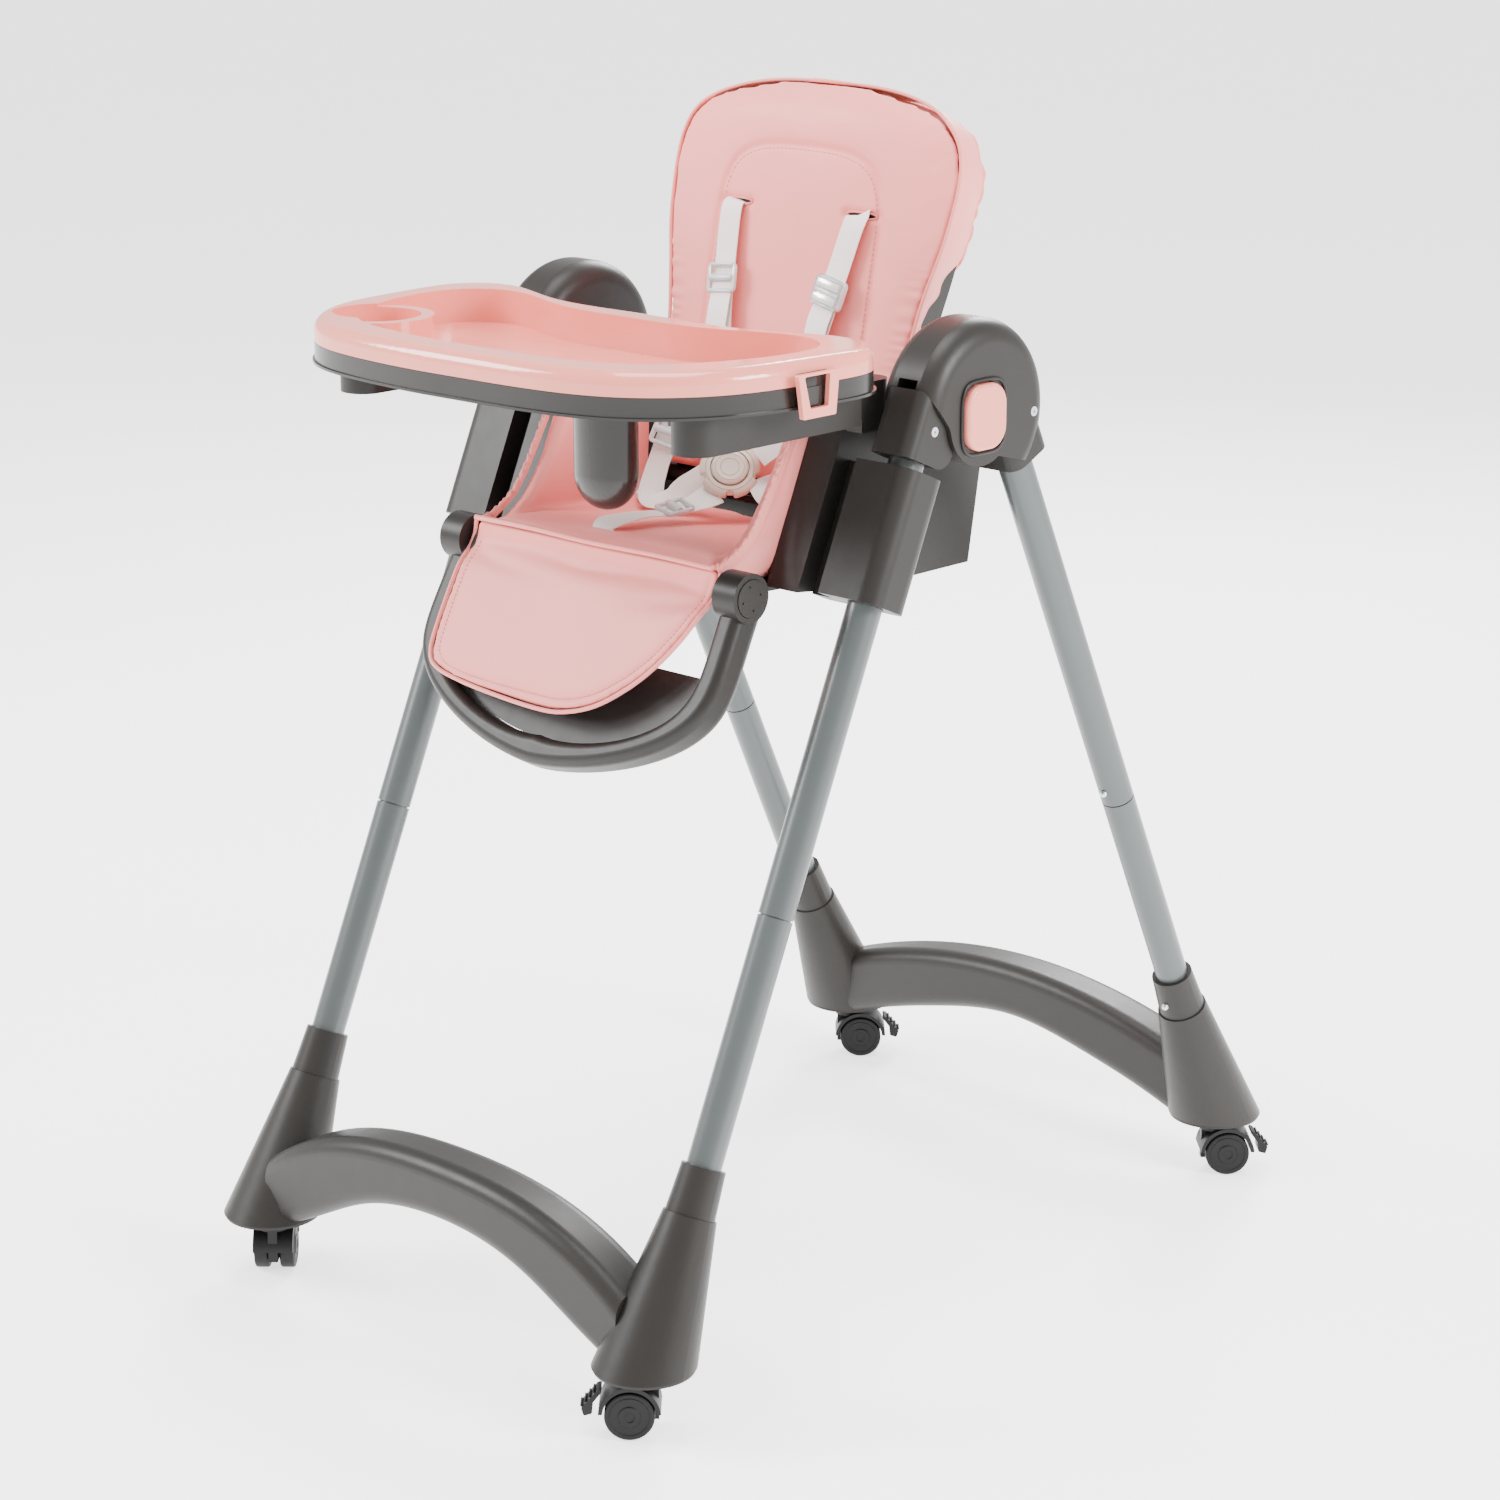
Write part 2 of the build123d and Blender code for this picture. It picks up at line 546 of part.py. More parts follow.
def seat_side(side):
    """Hollow side box of the seat with its height slider and the lever's cheeks."""
    box = side_profile(side_outline(), (SIDE_INNER_X, SIDE_OUTER_X))
    hollow = side_profile(side_outline(SIDE_WALL), (SIDE_INNER_X + SIDE_WALL, SIDE_OUTER_X - SIDE_WALL))
    upper = [e for e in box.edges().filter_by(Axis.X) if e.center().Z > ARMREST_UNDER_Z - 1]
    box = fillet(upper, 8.0) - hollow
    flange = block((SIDE_OUTER_X - 2, FLANGE_X), (-90, 40), (ARMREST_UNDER_Z - 12, ARMREST_UNDER_Z))
    flange = fillet(flange.edges().filter_by(Axis.Y).sort_by(Axis.Z)[:1], 6.0)
    bearing = Pos(SIDE_INNER_X, RECLINE_Y, RECLINE_Z) * Rot(0, 90, 0) * rod(PIN_BORE, 8)
    body = box + flange + sleeve() + lever_cheeks() - bearing
    return mirrored(body, side)


def seat_pan():
    """Pan under the seat cushion with ribs, a rear strut and the footrest's ears."""
    rear_y = SEAT_REAR_Y + 40
    rear_z = SEAT_TOP - SEAT_DROP - CUSHION
    front_z = SEAT_TOP - CUSHION
    front_y = SEAT_FRONT_Y + 6
    outline = [(front_y, front_z), (rear_y, rear_z - 1), (rear_y, rear_z - PAN_THICKNESS),
               (front_y, front_z - PAN_THICKNESS)]
    pan = side_profile(outline, (-SIDE_INNER_X, SIDE_INNER_X))
    for x in (-90, -30, 30, 90):
        rib = [(front_y + 24, front_z - 4), (rear_y, rear_z - 4), (rear_y, rear_z - 16),
               (front_y + 24, front_z - 16)]
        pan = pan + side_profile(rib, (x - 1.5, x + 1.5))
    strut = block((-SIDE_INNER_X, SIDE_INNER_X), (62, 70), (rear_z - 8, 676))
    link = block((-60, 60), (rear_y - 4, 64), (rear_z - 8, rear_z - 3))
    pan = pan + link + strut
    for sign in (1, -1):
        ear = side_profile([(FOOTREST_Y - 4, FOOTREST_Z + 12), (FOOTREST_Y + 30, front_z),
                            (FOOTREST_Y + 46, FOOTREST_Z - 12), (FOOTREST_Y + 6, FOOTREST_Z - 17),
                            (FOOTREST_Y - 14, FOOTREST_Z - 6)], EAR_X)
        pin = Pos(EAR_X[1] - 1, FOOTREST_Y, FOOTREST_Z) * Rot(0, 90, 0) * rod(5.0, 8.0)
        ear = ear + pin
        pan = pan + (ear if sign > 0 else mirror(ear, about=Plane.YZ))
    return pan


def seat_cushion():
    """Seat pad with its upholstered side wings."""
    front = SEAT_TOP
    back = SEAT_TOP - SEAT_DROP
    pad_line = [(SEAT_FRONT_Y, front - 5), (SEAT_FRONT_Y + 5, front), (SEAT_REAR_Y, back),
                (SEAT_REAR_Y, back - CUSHION + 1), (SEAT_FRONT_Y, front - CUSHION + 0.5)]
    pad = side_profile(pad_line, (-SEAT_HALF, SEAT_HALF))
    wing_line = [(SEAT_FRONT_Y + 6, front - 8), (-164, 700), (-140, 732), (-122, 764), (-110, 790),
                 (SEAT_REAR_Y + 18, 790), (SEAT_REAR_Y, back - 8)]
    for sign in (1, -1):
        wing = side_profile(wing_line, (SEAT_HALF - WING, SEAT_HALF))
        pad = pad + (wing if sign > 0 else mirror(wing, about=Plane.YZ))
    return pad


def armrest(side):
    """Rounded bar that carries the tray; its rear end is narrower to pass the hub."""
    height = ARMREST_TOP_Z - ARMREST_UNDER_Z
    outer = ARMREST_X + ARMREST_WIDTH / 2
    inner = ARMREST_X - ARMREST_WIDTH / 2
    points = [(inner, ARMREST_FRONT_Y), (outer, ARMREST_FRONT_Y), (outer, -112), (FLANGE_X, -92),
              (FLANGE_X, ARMREST_REAR_Y), (FLANGE_X - 30, ARMREST_REAR_Y), (FLANGE_X - 30, -92),
              (inner, -112)]
    face = make_face(Polyline([(x, y, ARMREST_UNDER_Z) for x, y in points], close=True))
    bar = extrude(face, height, dir=(0, 0, 1))
    upright = bar.edges().filter_by(Axis.Z)
    bar = fillet(upright.sort_by(Axis.Y)[:2], ARMREST_WIDTH / 2 - 1)
    bar = fillet(bar.edges().filter_by(Axis.Z).sort_by(Axis.Y)[-2:], 14.0)
    return mirrored(bar, side)


def lever_outline(points, x_range):
    """Solid from (behind the tube's axis, above the slider's bottom) points."""
    plane = leg_plane(LEG_X, -1, SLEEVE_BOTTOM)
    spots = [plane.from_local_coords(Vector(0, y, z)) for y, z in points]
    return side_profile([(p.Y, p.Z) for p in spots], x_range)


def lever_axis(x_from, radius, length):
    """Bar along the squeeze lever's pivot."""
    spot = leg_plane(LEG_X, -1, SLEEVE_BOTTOM).from_local_coords(Vector(0, *LEVER_PIVOT))
    plane = Plane(origin=(x_from, spot.Y, spot.Z), x_dir=(0, 1, 0), z_dir=(1, 0, 0))
    return plane * rod(radius, length)


def height_lever(side):
    """Squeeze lever behind the height slider."""
    outline = [(33, 20), (41, 20), (50, 50), (57, 80), (53, 86), (45, 80), (36, 48), (31.5, 28)]
    body = lever_outline(outline, LEVER_X)
    body = fillet(body.edges().filter_by(Axis.X), 1.2)
    return mirrored(body - lever_axis(LEVER_X[0] - 1, LEVER_PIN_R + 0.3, 20), side)


def lever_screws():
    """Screw on which each squeeze lever turns."""
    screws = []
    for side in SIDES.values():
        head = lever_axis(LEVER_CHEEKS[1] + 0.2, 5.0, 4.0) - lever_axis(LEVER_CHEEKS[1] + 2.8, 2.0, 3.0)
        shank = lever_axis(LEVER_X[0] - 5, LEVER_PIN_R, LEVER_CHEEKS[1] + 0.4 - LEVER_X[0] + 5)
        screws.append(mirrored(head + shank, side))
    return screws


def lever_cheeks():
    """Cheek plates behind the slider that hold the squeeze lever and its screw."""
    outline = [(27, 4), (40, 14), (44, 26), (42, 34), (34, 44), (38, 92), (27, 106)]
    body = lever_outline(outline, (LEVER_CHEEKS[0], LEVER_X[0] - LEVER_GAP))
    body = body + lever_outline(outline, (LEVER_X[1] + LEVER_GAP, LEVER_CHEEKS[1]))
    body = body + lever_outline([(27, 4), (35, 10), (35, 15), (27, 17)], LEVER_CHEEKS)
    return body - lever_axis(LEVER_CHEEKS[0] - 1, LEVER_PIN_R, LEVER_CHEEKS[1] - LEVER_CHEEKS[0] + 6)


# ---------------------------------------------------------------- backrest
BACK_LOCAL = Pos(0, RECLINE_Y, RECLINE_Z) * Rot(-BACK_LEAN, 0, 0)


def back_outline(scale=1.0, drop=0.0, low=-12.0):
    """Half outline of the backrest as (x, height above the pivot) points."""
    points = [(0, BACK_TOP), (70, BACK_TOP - 3), (122, BACK_TOP - 18), (154, BACK_TOP - 44),
              (166, BACK_TOP - 82), (163, 240), (152, 190), (143, 150), (140, 110), (138, 60), (136, low)]
    return [(x * scale, z - drop if z > 100 else z) for x, z in points]


def back_panel(y_front, y_back, scale, drop, low):
    """Panel with the backrest outline between two depths."""
    half = back_outline(scale, drop, low)
    right = [(x, y_front, z) for x, z in half]
    left = [(-x, y_front, z) for x, z in reversed(half[1:])]
    curve = Spline(left[:] + right)
    base = Line(right[-1], left[0])
    return extrude(make_face([curve, base]), y_back - y_front, dir=(0, 1, 0))


def back_cushion():
    """Upholstered back pad, its lower end above the pivot bar."""
    body = back_panel(-BACK_FRONT, -BACK_FRONT + BACK_CUSHION, 1.0, 0.0, 10.0)
    return BACK_LOCAL * body


def back_shell():
    """Moulded shell behind the back pad, hollow at the back, with its pivot bar."""
    front = -BACK_FRONT + BACK_CUSHION + SHELL_GAP
    shell = back_panel(front, front + SHELL_DEPTH, 0.93, 14.0, -14.0)
    shell = shell - back_panel(front + 4, front + SHELL_DEPTH + 1, 0.90, 18.0, -10.0)
    for x in (-84, -28, 28, 84):
        shell = shell + block((x - 1.5, x + 1.5), (front + 2, front + SHELL_DEPTH - 4), (-10, 300))
    pivot = Rot(0, 90, 0) * Cylinder(8.0, 2 * SIDE_INNER_X - 1.0)
    pins = Rot(0, 90, 0) * Cylinder(PIN_BORE - 0.3, 2 * SIDE_INNER_X + 10.0)
    return BACK_LOCAL * (shell + pivot + pins)


def recline_handle():
    """Squeeze handle on the back of the shell."""
    y = -BACK_FRONT + BACK_CUSHION + SHELL_GAP + SHELL_DEPTH
    body = Pos(0, y + 9, 268) * Box(96, 12, 22)
    body = fillet(body.edges().filter_by(Axis.X), 5.0)
    grip = Pos(0, y + 6, 268) * Box(70, 18, 4)
    arms = [Pos(x, y + 1.5, 268) * Box(10, 12, 12) for x in (-36, 36)]
    for arm in arms:
        body = body + arm
    return BACK_LOCAL * body


def shoulder_straps():
    """Flat webbing from the slots in the back pad down towards the buckle."""
    straps = []
    for side in SIDES.values():
        y = -BACK_FRONT - 3.2
        top = (73.0, 252.0)
        low = (40.0, 62.0)
        face = make_face(Polyline([(top[0] - 12, y, top[1]), (top[0] + 12, y, top[1]),
                                   (low[0] + 12, y, low[1]), (low[0] - 12, y, low[1])], close=True))
        straps.append(mirrored(extrude(face, 1.8, dir=(0, 1, 0)), side))
    return [BACK_LOCAL * strap for strap in straps]


def strap_adjusters():
    """Tri-glide adjusters on the shoulder straps."""
    parts = []
    for side in SIDES.values():
        y = -BACK_FRONT - 6.4
        body = Pos(60.0, y, 172.0) * Rot(0, 10, 0) * Box(34, 2.8, 28)
        body = fillet(body.edges().filter_by(Axis.Y), 3.0)
        parts.append(mirrored(body, side))
    return [BACK_LOCAL * part for part in parts]


# ---------------------------------------------------------------- footrest
FOOTREST_LOCAL = Pos(0, FOOTREST_Y, FOOTREST_Z) * Rot(-FOOTREST_LEAN, 0, 0)


def u_face(half, length, corner, bow, y):
    """U shape hanging from the pivot line, as an outline in the local XZ plane."""
    points = [(half - 2, y, 0), (half, y, -60), (half - 4, y, -length + corner),
              (half - corner * 0.75, y, -length + corner * 0.32), (0, y, -length - bow)]
    curve_r = Spline(points)
    curve_l = Spline([(-x, yy, z) for x, yy, z in reversed(points)])
    top = Line((-half + 2, y, 0), (half - 2, y, 0))
    return make_face([curve_r, curve_l, top])


def footrest_frame():
    """U-shaped bar with round pivot ends."""
    front = FOOTREST_FRONT
    length = FOOTREST_LENGTH - 10
    inner_half = FOOTREST_HALF - FOOTREST_ARM
    bar = extrude(u_face(FOOTREST_HALF, length, 70, 10, front), FOOTREST_DEPTH, dir=(0, 1, 0))
    inner = u_face(inner_half, length - FOOTREST_ARM, 50, 9, front - 1)
    bar = bar - extrude(inner, FOOTREST_DEPTH + 2, dir=(0, 1, 0))
    bar = fillet([e for e in bar.edges() if e.length > 120], 9.0)
    for sign in (1, -1):
        centre = sign * (FOOTREST_HALF - FOOTREST_ARM / 2)
        barrel = Pos(centre, 0, 0) * Rot(0, 90, 0)
        bar = bar + barrel * Cylinder(21, FOOTREST_ARM)
        bar = bar - barrel * Cylinder(5.3, FOOTREST_ARM + 8)
        bar = bar - Pos(sign * (FOOTREST_HALF - 1.5), 0, 0) * Rot(0, 90, 0) * Cylinder(16.4, 5.0)
    return FOOTREST_LOCAL * bar


def footrest_board():
    """Recessed foot board between the arms."""
    y = FOOTREST_FRONT + 18
    half = FOOTREST_HALF - FOOTREST_ARM - 0.4
    length = FOOTREST_LENGTH - 10 - FOOTREST_ARM - 0.4
    board = extrude(u_face(half, length, 50, 9, y), 6, dir=(0, 1, 0))
    return FOOTREST_LOCAL * (board & block((-200, 200), (-60, 60), (-260, -72)))


def footrest_caps():
    """Round covers over the footrest pivots."""
    caps = []
    for sign in (1, -1):
        cap = Rot(0, sign * 90, 0) * rod(16.0, 3.6)
        for angle in (40, 130, 220, 310):
            dot = Rot(0, 0, angle) * Pos(10.5, 0, 2.8) * rod(1.1, 2)
            cap = cap - Rot(0, sign * 90, 0) * dot
        caps.append(FOOTREST_LOCAL * Pos(sign * (FOOTREST_HALF - 2.9), 0, 0) * cap)
    return caps


def calf_pad():
    """Padded flap that hangs in front of the footrest."""
    y = FOOTREST_FRONT - CALF_GAP - CALF_THICKNESS
    points = [(-CALF_HALF + 2, y, -CALF_START), (-CALF_HALF, y, -100), (-CALF_HALF + 12, y, -CALF_END + 4),
              (-70, y, -CALF_END - 6), (0, y, -CALF_END - 9), (60, y, -CALF_END + 2), (108, y, -92),
              (134, y, -55), (CALF_HALF - 2, y, -CALF_START)]
    face = make_face([Spline(points), Line(points[-1], points[0])])
    return FOOTREST_LOCAL * extrude(face, CALF_THICKNESS, dir=(0, 1, 0))


# ---------------------------------------------------------------- tray
def tray_face(inset, z):
    """Outline of the tray, drawn in by `inset`."""
    front = TRAY_FRONT_Y + inset
    rear = TRAY_REAR_Y - inset
    waist = TRAY_WAIST_Y - inset
    half = TRAY_HALF - inset
    middle = (TRAY_FRONT_Y + TRAY_REAR_Y) / 2
    right = [(0, front), (103 - inset * 0.3, front + 5), (185 - inset * 0.6, front + 30),
             (234 - inset * 0.9, front + 88), (half, middle + 45), (half - 8, rear - 22),
             (half - 40, rear), (half - 90, rear - 8), (half - 140, waist + 4), (0, waist)]
    points = right + [(-x, y) for x, y in reversed(right[1:-1])]
    return make_face(Spline([(x, y, z) for x, y in points], periodic=True))


def tray_base():
    """Lower tray: a shallow pan with a lip, and a keeper on each side."""
    base = extrude(tray_face(0, TRAY_Z), TRAY_BAND)
    lip = extrude(tray_face(-1.6, TRAY_Z), 2.2)
    hollow = extrude(tray_face(TRAY_WALL, TRAY_Z + TRAY_WALL), TRAY_BAND)
    body = base + lip - hollow
    for sign in (1, -1):
        keeper = block((TRAY_HALF - 5, TRAY_HALF + 2), (-217, -199), (TRAY_Z + 2, TRAY_Z + TRAY_BAND - 1))
        rail_x = ARMREST_X - ARMREST_WIDTH / 2 - 1.0
        rail = block((rail_x - 6, rail_x), (-290, -150), (TRAY_Z - 14, TRAY_Z + 1))
        keeper = keeper + rail
        body = body + (keeper if sign > 0 else mirror(keeper, about=Plane.YZ))
    return body


def tray_top():
    """Lift-off upper tray with a rolled rim and a cup holder."""
    low = TRAY_Z + TRAY_BAND + TRAY_GAP
    body = extrude(tray_face(0, low), TRAY_RIM)
    rim = [e for e in body.edges() if e.center().Z > low + TRAY_RIM - 1]
    body = fillet(rim, 11.0)
    floor_z = TRAY_Z + TRAY_WALL + 3.0
    well = extrude(tray_face(RIM_WIDTH, floor_z), low - floor_z + 1)
    body = body + well
    body = body - extrude(tray_face(RIM_WIDTH + 3, floor_z + 3), 60)
    body = body - (extrude(tray_face(4, low - 1), 10) - extrude(tray_face(RIM_WIDTH - 3.5, low - 1), 10))
    boss = Pos(CUP_X, CUP_Y, floor_z) * rod(CUP_RING, low + TRAY_RIM - CUP_DROP - floor_z)
    body = body + (boss & extrude(tray_face(TRAY_WALL + 1.5, floor_z), 60))
    bore = Pos(CUP_X, CUP_Y, floor_z + 3) * rod(CUP_R, 60)
    return body - (bore & extrude(tray_face(TRAY_WALL + CUP_WALL, floor_z), 60))


def tray_clip(side):
    """Open trapezium clip that locks the two trays together."""
    x = TRAY_HALF + 3.0
    outer = [(-232, TRAY_Z + 29), (-184, TRAY_Z + 29), (-188, TRAY_Z - 7), (-226, TRAY_Z - 7)]
    window = [(-225, TRAY_Z + 27), (-195, TRAY_Z + 27), (-197, TRAY_Z + 1), (-218, TRAY_Z + 1)]
    body = side_profile(outer, (x, x + 4.5)) - side_profile(window, (x - 1, x + 6))
    body = fillet(body.edges().filter_by(Axis.X), 1.5)
    return mirrored(body, side)


def crotch_post():
    """Rounded post under the tray that keeps the child from sliding out."""
    plane = Plane(origin=(0, -190, TRAY_Z), x_dir=(1, 0, 0), z_dir=(0, 0, -1))
    post = extrude(plane * Ellipse(31, 24), 92)
    tip = plane * Pos(0, 0, 92) * scale(Sphere(31), (1.0, 24 / 31, 1.0))
    return post + tip


# ---------------------------------------------------------------- harness
BUCKLE_R = 26.0
BUCKLE_DEPTH = 8.0
RELEASE_R = 16.0         # button in the middle of the buckle
BUCKLE_PLANE = Plane(origin=(15, -54, 722), x_dir=(0.72, 0.69, 0), z_dir=(0.55, -0.58, 0.6))


def harness_buckle():
    """Round five-point buckle."""
    body = BUCKLE_PLANE * rod(BUCKLE_R, BUCKLE_DEPTH)
    body = fillet(body.edges().filter_by(GeomType.CIRCLE), 2.5)
    return body - BUCKLE_PLANE * Pos(0, 0, BUCKLE_DEPTH - 3) * rod(RELEASE_R + 0.6, 5)


def buckle_button():
    """Release button in the middle of the buckle."""
    return BUCKLE_PLANE * Pos(0, 0, BUCKLE_DEPTH - 1.2) * rod(RELEASE_R, 3.6)


def lap_strap(side):
    """Flat webbing from the seat's side slot to the buckle."""
    points = [(126, -32), (70, -38), (44, -46)] if side > 0 else [(-126, -32), (-60, -38), (-14, -40)]
    outline = [(x, y - 1, 690) for x, y in points] + [(x, y + 1, 690) for x, y in reversed(points)]
    return extrude(make_face(Polyline(outline, close=True)), 25, dir=(0, 0, 1))


def crotch_strap():
    """Webbing on the seat from its front slot back to the buckle."""
    fall = SEAT_DROP / (SEAT_REAR_Y - SEAT_FRONT_Y)
    rise = 1.0
    front_z = SEAT_TOP - fall * (-172 - SEAT_FRONT_Y) + rise
    rear_z = SEAT_TOP - fall * (-84 - SEAT_FRONT_Y) + rise
    return side_profile([(-172, front_z), (-84, rear_z), (-84, rear_z + 1.8), (-172, front_z + 1.8)],
                        (-24, 4))


def build():
    """Make and write every node."""
    os.makedirs("parts", exist_ok=True)
    for end, sign in (("front", -1), ("rear", 1)):
        save(foot(sign), f"{end}_foot")
        save(group(foot_caps(sign)), f"{end}_foot_caps")
        save(group([collar(s, sign) for s in SIDES.values()]), f"{end}_collars")
        axles = [fold_axle(s) for s in SIDES.values()] if sign < 0 else []
        save(group(snap_pins(sign) + hub_screws(sign) + axles), f"{end}_fasteners")
        for name, side in SIDES.items():
            save(lower_tube(side, sign), f"{end}_lower_tube_{name}")
            save(upper_tube(side, sign), f"{end}_upper_tube_{name}")
    for name, side in SIDES.items():
        save(hub_shell(side), f"hub_casing_{name}")
        save(hub_bracket(side), f"hub_bracket_{name}")
        save(fold_button(side), f"fold_button_{name}")
        save(seat_side(side), f"seat_side_{name}")
        save(armrest(side), f"armrest_{name}")
        save(height_lever(side), f"height_lever_{name}")
        save(tray_clip(side), f"tray_clip_{name}")
    for name in CASTERS:
        save(caster_fork(name), f"caster_fork_{name}")
        save(caster_wheels(name), f"caster_wheels_{name}")
        save(caster_brake(name), f"caster_brake_{name}")
    save(seat_pan(), "seat_pan")
    save(seat_cushion(), "seat_cushion")
    save(group(lever_screws()), "lever_screws")
    save(back_shell(), "back_shell")
    save(back_cushion(), "back_cushion")
    save(recline_handle(), "recline_handle")
    save(group(shoulder_straps()), "shoulder_straps")
    save(group(strap_adjusters()), "strap_adjusters")
    save(footrest_frame(), "footrest_frame")
    save(footrest_board(), "footrest_board")
    save(group(footrest_caps()), "footrest_caps")
    save(calf_pad(), "calf_pad")
    save(tray_base(), "tray_base")
    save(tray_top(), "tray_top")
    save(crotch_post(), "crotch_post")
    save(harness_buckle(), "harness_buckle")
    save(buckle_button(), "buckle_button")
    save(group([lap_strap(s) for s in SIDES.values()] + [crotch_strap()]), "lap_straps")


build()
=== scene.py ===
"""Folding baby high chair: cover, harness, small fittings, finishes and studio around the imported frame."""

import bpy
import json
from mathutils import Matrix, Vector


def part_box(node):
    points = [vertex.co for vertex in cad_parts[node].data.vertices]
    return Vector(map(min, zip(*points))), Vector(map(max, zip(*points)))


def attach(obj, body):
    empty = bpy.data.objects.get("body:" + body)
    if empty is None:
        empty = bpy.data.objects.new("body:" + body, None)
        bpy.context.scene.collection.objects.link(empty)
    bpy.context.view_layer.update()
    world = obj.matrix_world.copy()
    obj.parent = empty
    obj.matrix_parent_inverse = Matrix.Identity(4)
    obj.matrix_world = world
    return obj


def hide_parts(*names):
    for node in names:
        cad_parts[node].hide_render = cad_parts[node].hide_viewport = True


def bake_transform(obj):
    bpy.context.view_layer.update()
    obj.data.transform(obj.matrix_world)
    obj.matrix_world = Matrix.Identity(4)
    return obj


bl_info = {
    "name": "Folding High Chair",
    "version": (1, 0, 0),
    "blender": (4, 5, 0),
    "location": "View3D > Sidebar > High Chair",
    "description": "Builds the padded cover, harness, fittings and finishes of a folding high chair",
    "category": "Add Mesh",
}

import json
import math

import bmesh
import bpy
import numpy as np
from bpy.props import FloatProperty, FloatVectorProperty, IntProperty, PointerProperty
from mathutils import Matrix, Vector
from mathutils.bvhtree import BVHTree

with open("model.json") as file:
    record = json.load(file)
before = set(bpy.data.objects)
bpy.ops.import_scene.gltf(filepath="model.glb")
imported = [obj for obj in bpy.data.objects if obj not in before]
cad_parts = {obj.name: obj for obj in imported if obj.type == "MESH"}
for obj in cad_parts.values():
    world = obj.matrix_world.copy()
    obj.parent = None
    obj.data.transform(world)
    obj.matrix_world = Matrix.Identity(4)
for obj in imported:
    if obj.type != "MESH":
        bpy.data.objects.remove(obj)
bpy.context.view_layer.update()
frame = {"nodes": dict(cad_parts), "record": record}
JOINTS = {joint["name"]: joint for joint in frame["record"]["behaviour"]["joints"]}
SIDES = (("left", 1), ("right", -1))
CASTERS = ("front_left", "front_right", "rear_left", "rear_right")

BACK_PIVOT = Vector(JOINTS["back_recline"]["pos_m"])
BACK_LEAN = math.radians(10.76)
BACK_FACE = -0.0218          # front of the back pad, from the recline pivot
BACK_REAR = 0.0020
FOOT_PIVOT = Vector(JOINTS["footrest_tilt"]["pos_m"])
FOOT_LEAN = math.radians(28.8)


# ------------------------------------------------------------------ sizes and colours
class UpholsterySizes(bpy.types.PropertyGroup):
    """Sizes of the padded cover."""
    voxel: FloatProperty(name="Voxel", description="Cell size of the padded meshes",
                         default=0.005, min=0.003, unit="LENGTH")
    loft: FloatProperty(name="Loft", description="How far the filling may swell the cover",
                        default=0.006, unit="LENGTH")
    frames: IntProperty(name="Frames", description="Length of each cloth simulation", default=20)
    piping: FloatProperty(name="Piping", description="Radius of the piped edges",
                          default=0.0022, unit="LENGTH")
    stitch: FloatProperty(name="Stitch", description="Distance between stitches",
                          default=0.0052, unit="LENGTH")


class HarnessSizes(bpy.types.PropertyGroup):
    """Sizes of the webbing and its fittings."""
    width: FloatProperty(name="Width", description="Width of the webbing", default=0.024, unit="LENGTH")
    thickness: FloatProperty(name="Thickness", description="Thickness of the webbing",
                             default=0.0014, unit="LENGTH")
    buckle: FloatProperty(name="Buckle", description="Radius of the buckle", default=0.0265, unit="LENGTH")


class FinishColours(bpy.types.PropertyGroup):
    """Colours of the chair's finishes."""
    cover: FloatVectorProperty(name="Cover", description="Coated fabric of the cushions",
                               subtype="COLOR", size=3, default=(0.92, 0.27, 0.245))
    tray: FloatVectorProperty(name="Tray", description="Glossy upper tray, clips and buttons",
                              subtype="COLOR", size=3, default=(0.84, 0.245, 0.19))
    frame: FloatVectorProperty(name="Frame", description="Moulded dark plastic",
                               subtype="COLOR", size=3, default=(0.017, 0.0148, 0.0133))
    tube: FloatVectorProperty(name="Tube", description="Painted steel legs",
                              subtype="COLOR", size=3, default=(0.070, 0.080, 0.079))
    webbing: FloatVectorProperty(name="Webbing", description="Harness straps",
                                 subtype="COLOR", size=3, default=(0.86, 0.80, 0.76))
    buckle: FloatVectorProperty(name="Buckle", description="Harness buckle",
                                subtype="COLOR", size=3, default=(0.66, 0.55, 0.45))


class StudioSettings(bpy.types.PropertyGroup):
    """Camera and lights of the studio."""
    azimuth: FloatProperty(name="Azimuth", description="Camera direction round the chair",
                           default=math.radians(43.3), subtype="ANGLE")
    elevation: FloatProperty(name="Elevation", description="Camera height as an angle",
                             default=math.radians(15.975), subtype="ANGLE")
    lens: FloatProperty(name="Lens", description="Focal length in millimetres", default=89.83)
    floor: FloatVectorProperty(name="Floor", description="Colour of the floor",
                               subtype="COLOR", size=3, default=(0.93, 0.93, 0.93))


CAMERA_PLACE = (2.2238, -2.3724, 1.3865)


# ------------------------------------------------------------------ helpers
def deselect():
    """Leaves nothing selected and nothing being edited."""
    if bpy.context.object and bpy.context.object.mode != "OBJECT":
        bpy.ops.object.mode_set(mode="OBJECT")
    bpy.ops.object.select_all(action="DESELECT")


def make_active(obj):
    """Selects one object only."""
    deselect()
    obj.select_set(True)
    bpy.context.view_layer.objects.active = obj


def name_piece(obj, name, body, material):
    """Gives a finished piece its name, finish and body, and bakes its place into its mesh."""
    make_active(obj)
    bpy.ops.object.transform_apply(location=True, rotation=True, scale=True)
    obj.name = name
    obj.data.name = name
    obj.data.materials.clear()
    obj.data.materials.append(material)
    if body:
        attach(obj, body)
    return obj


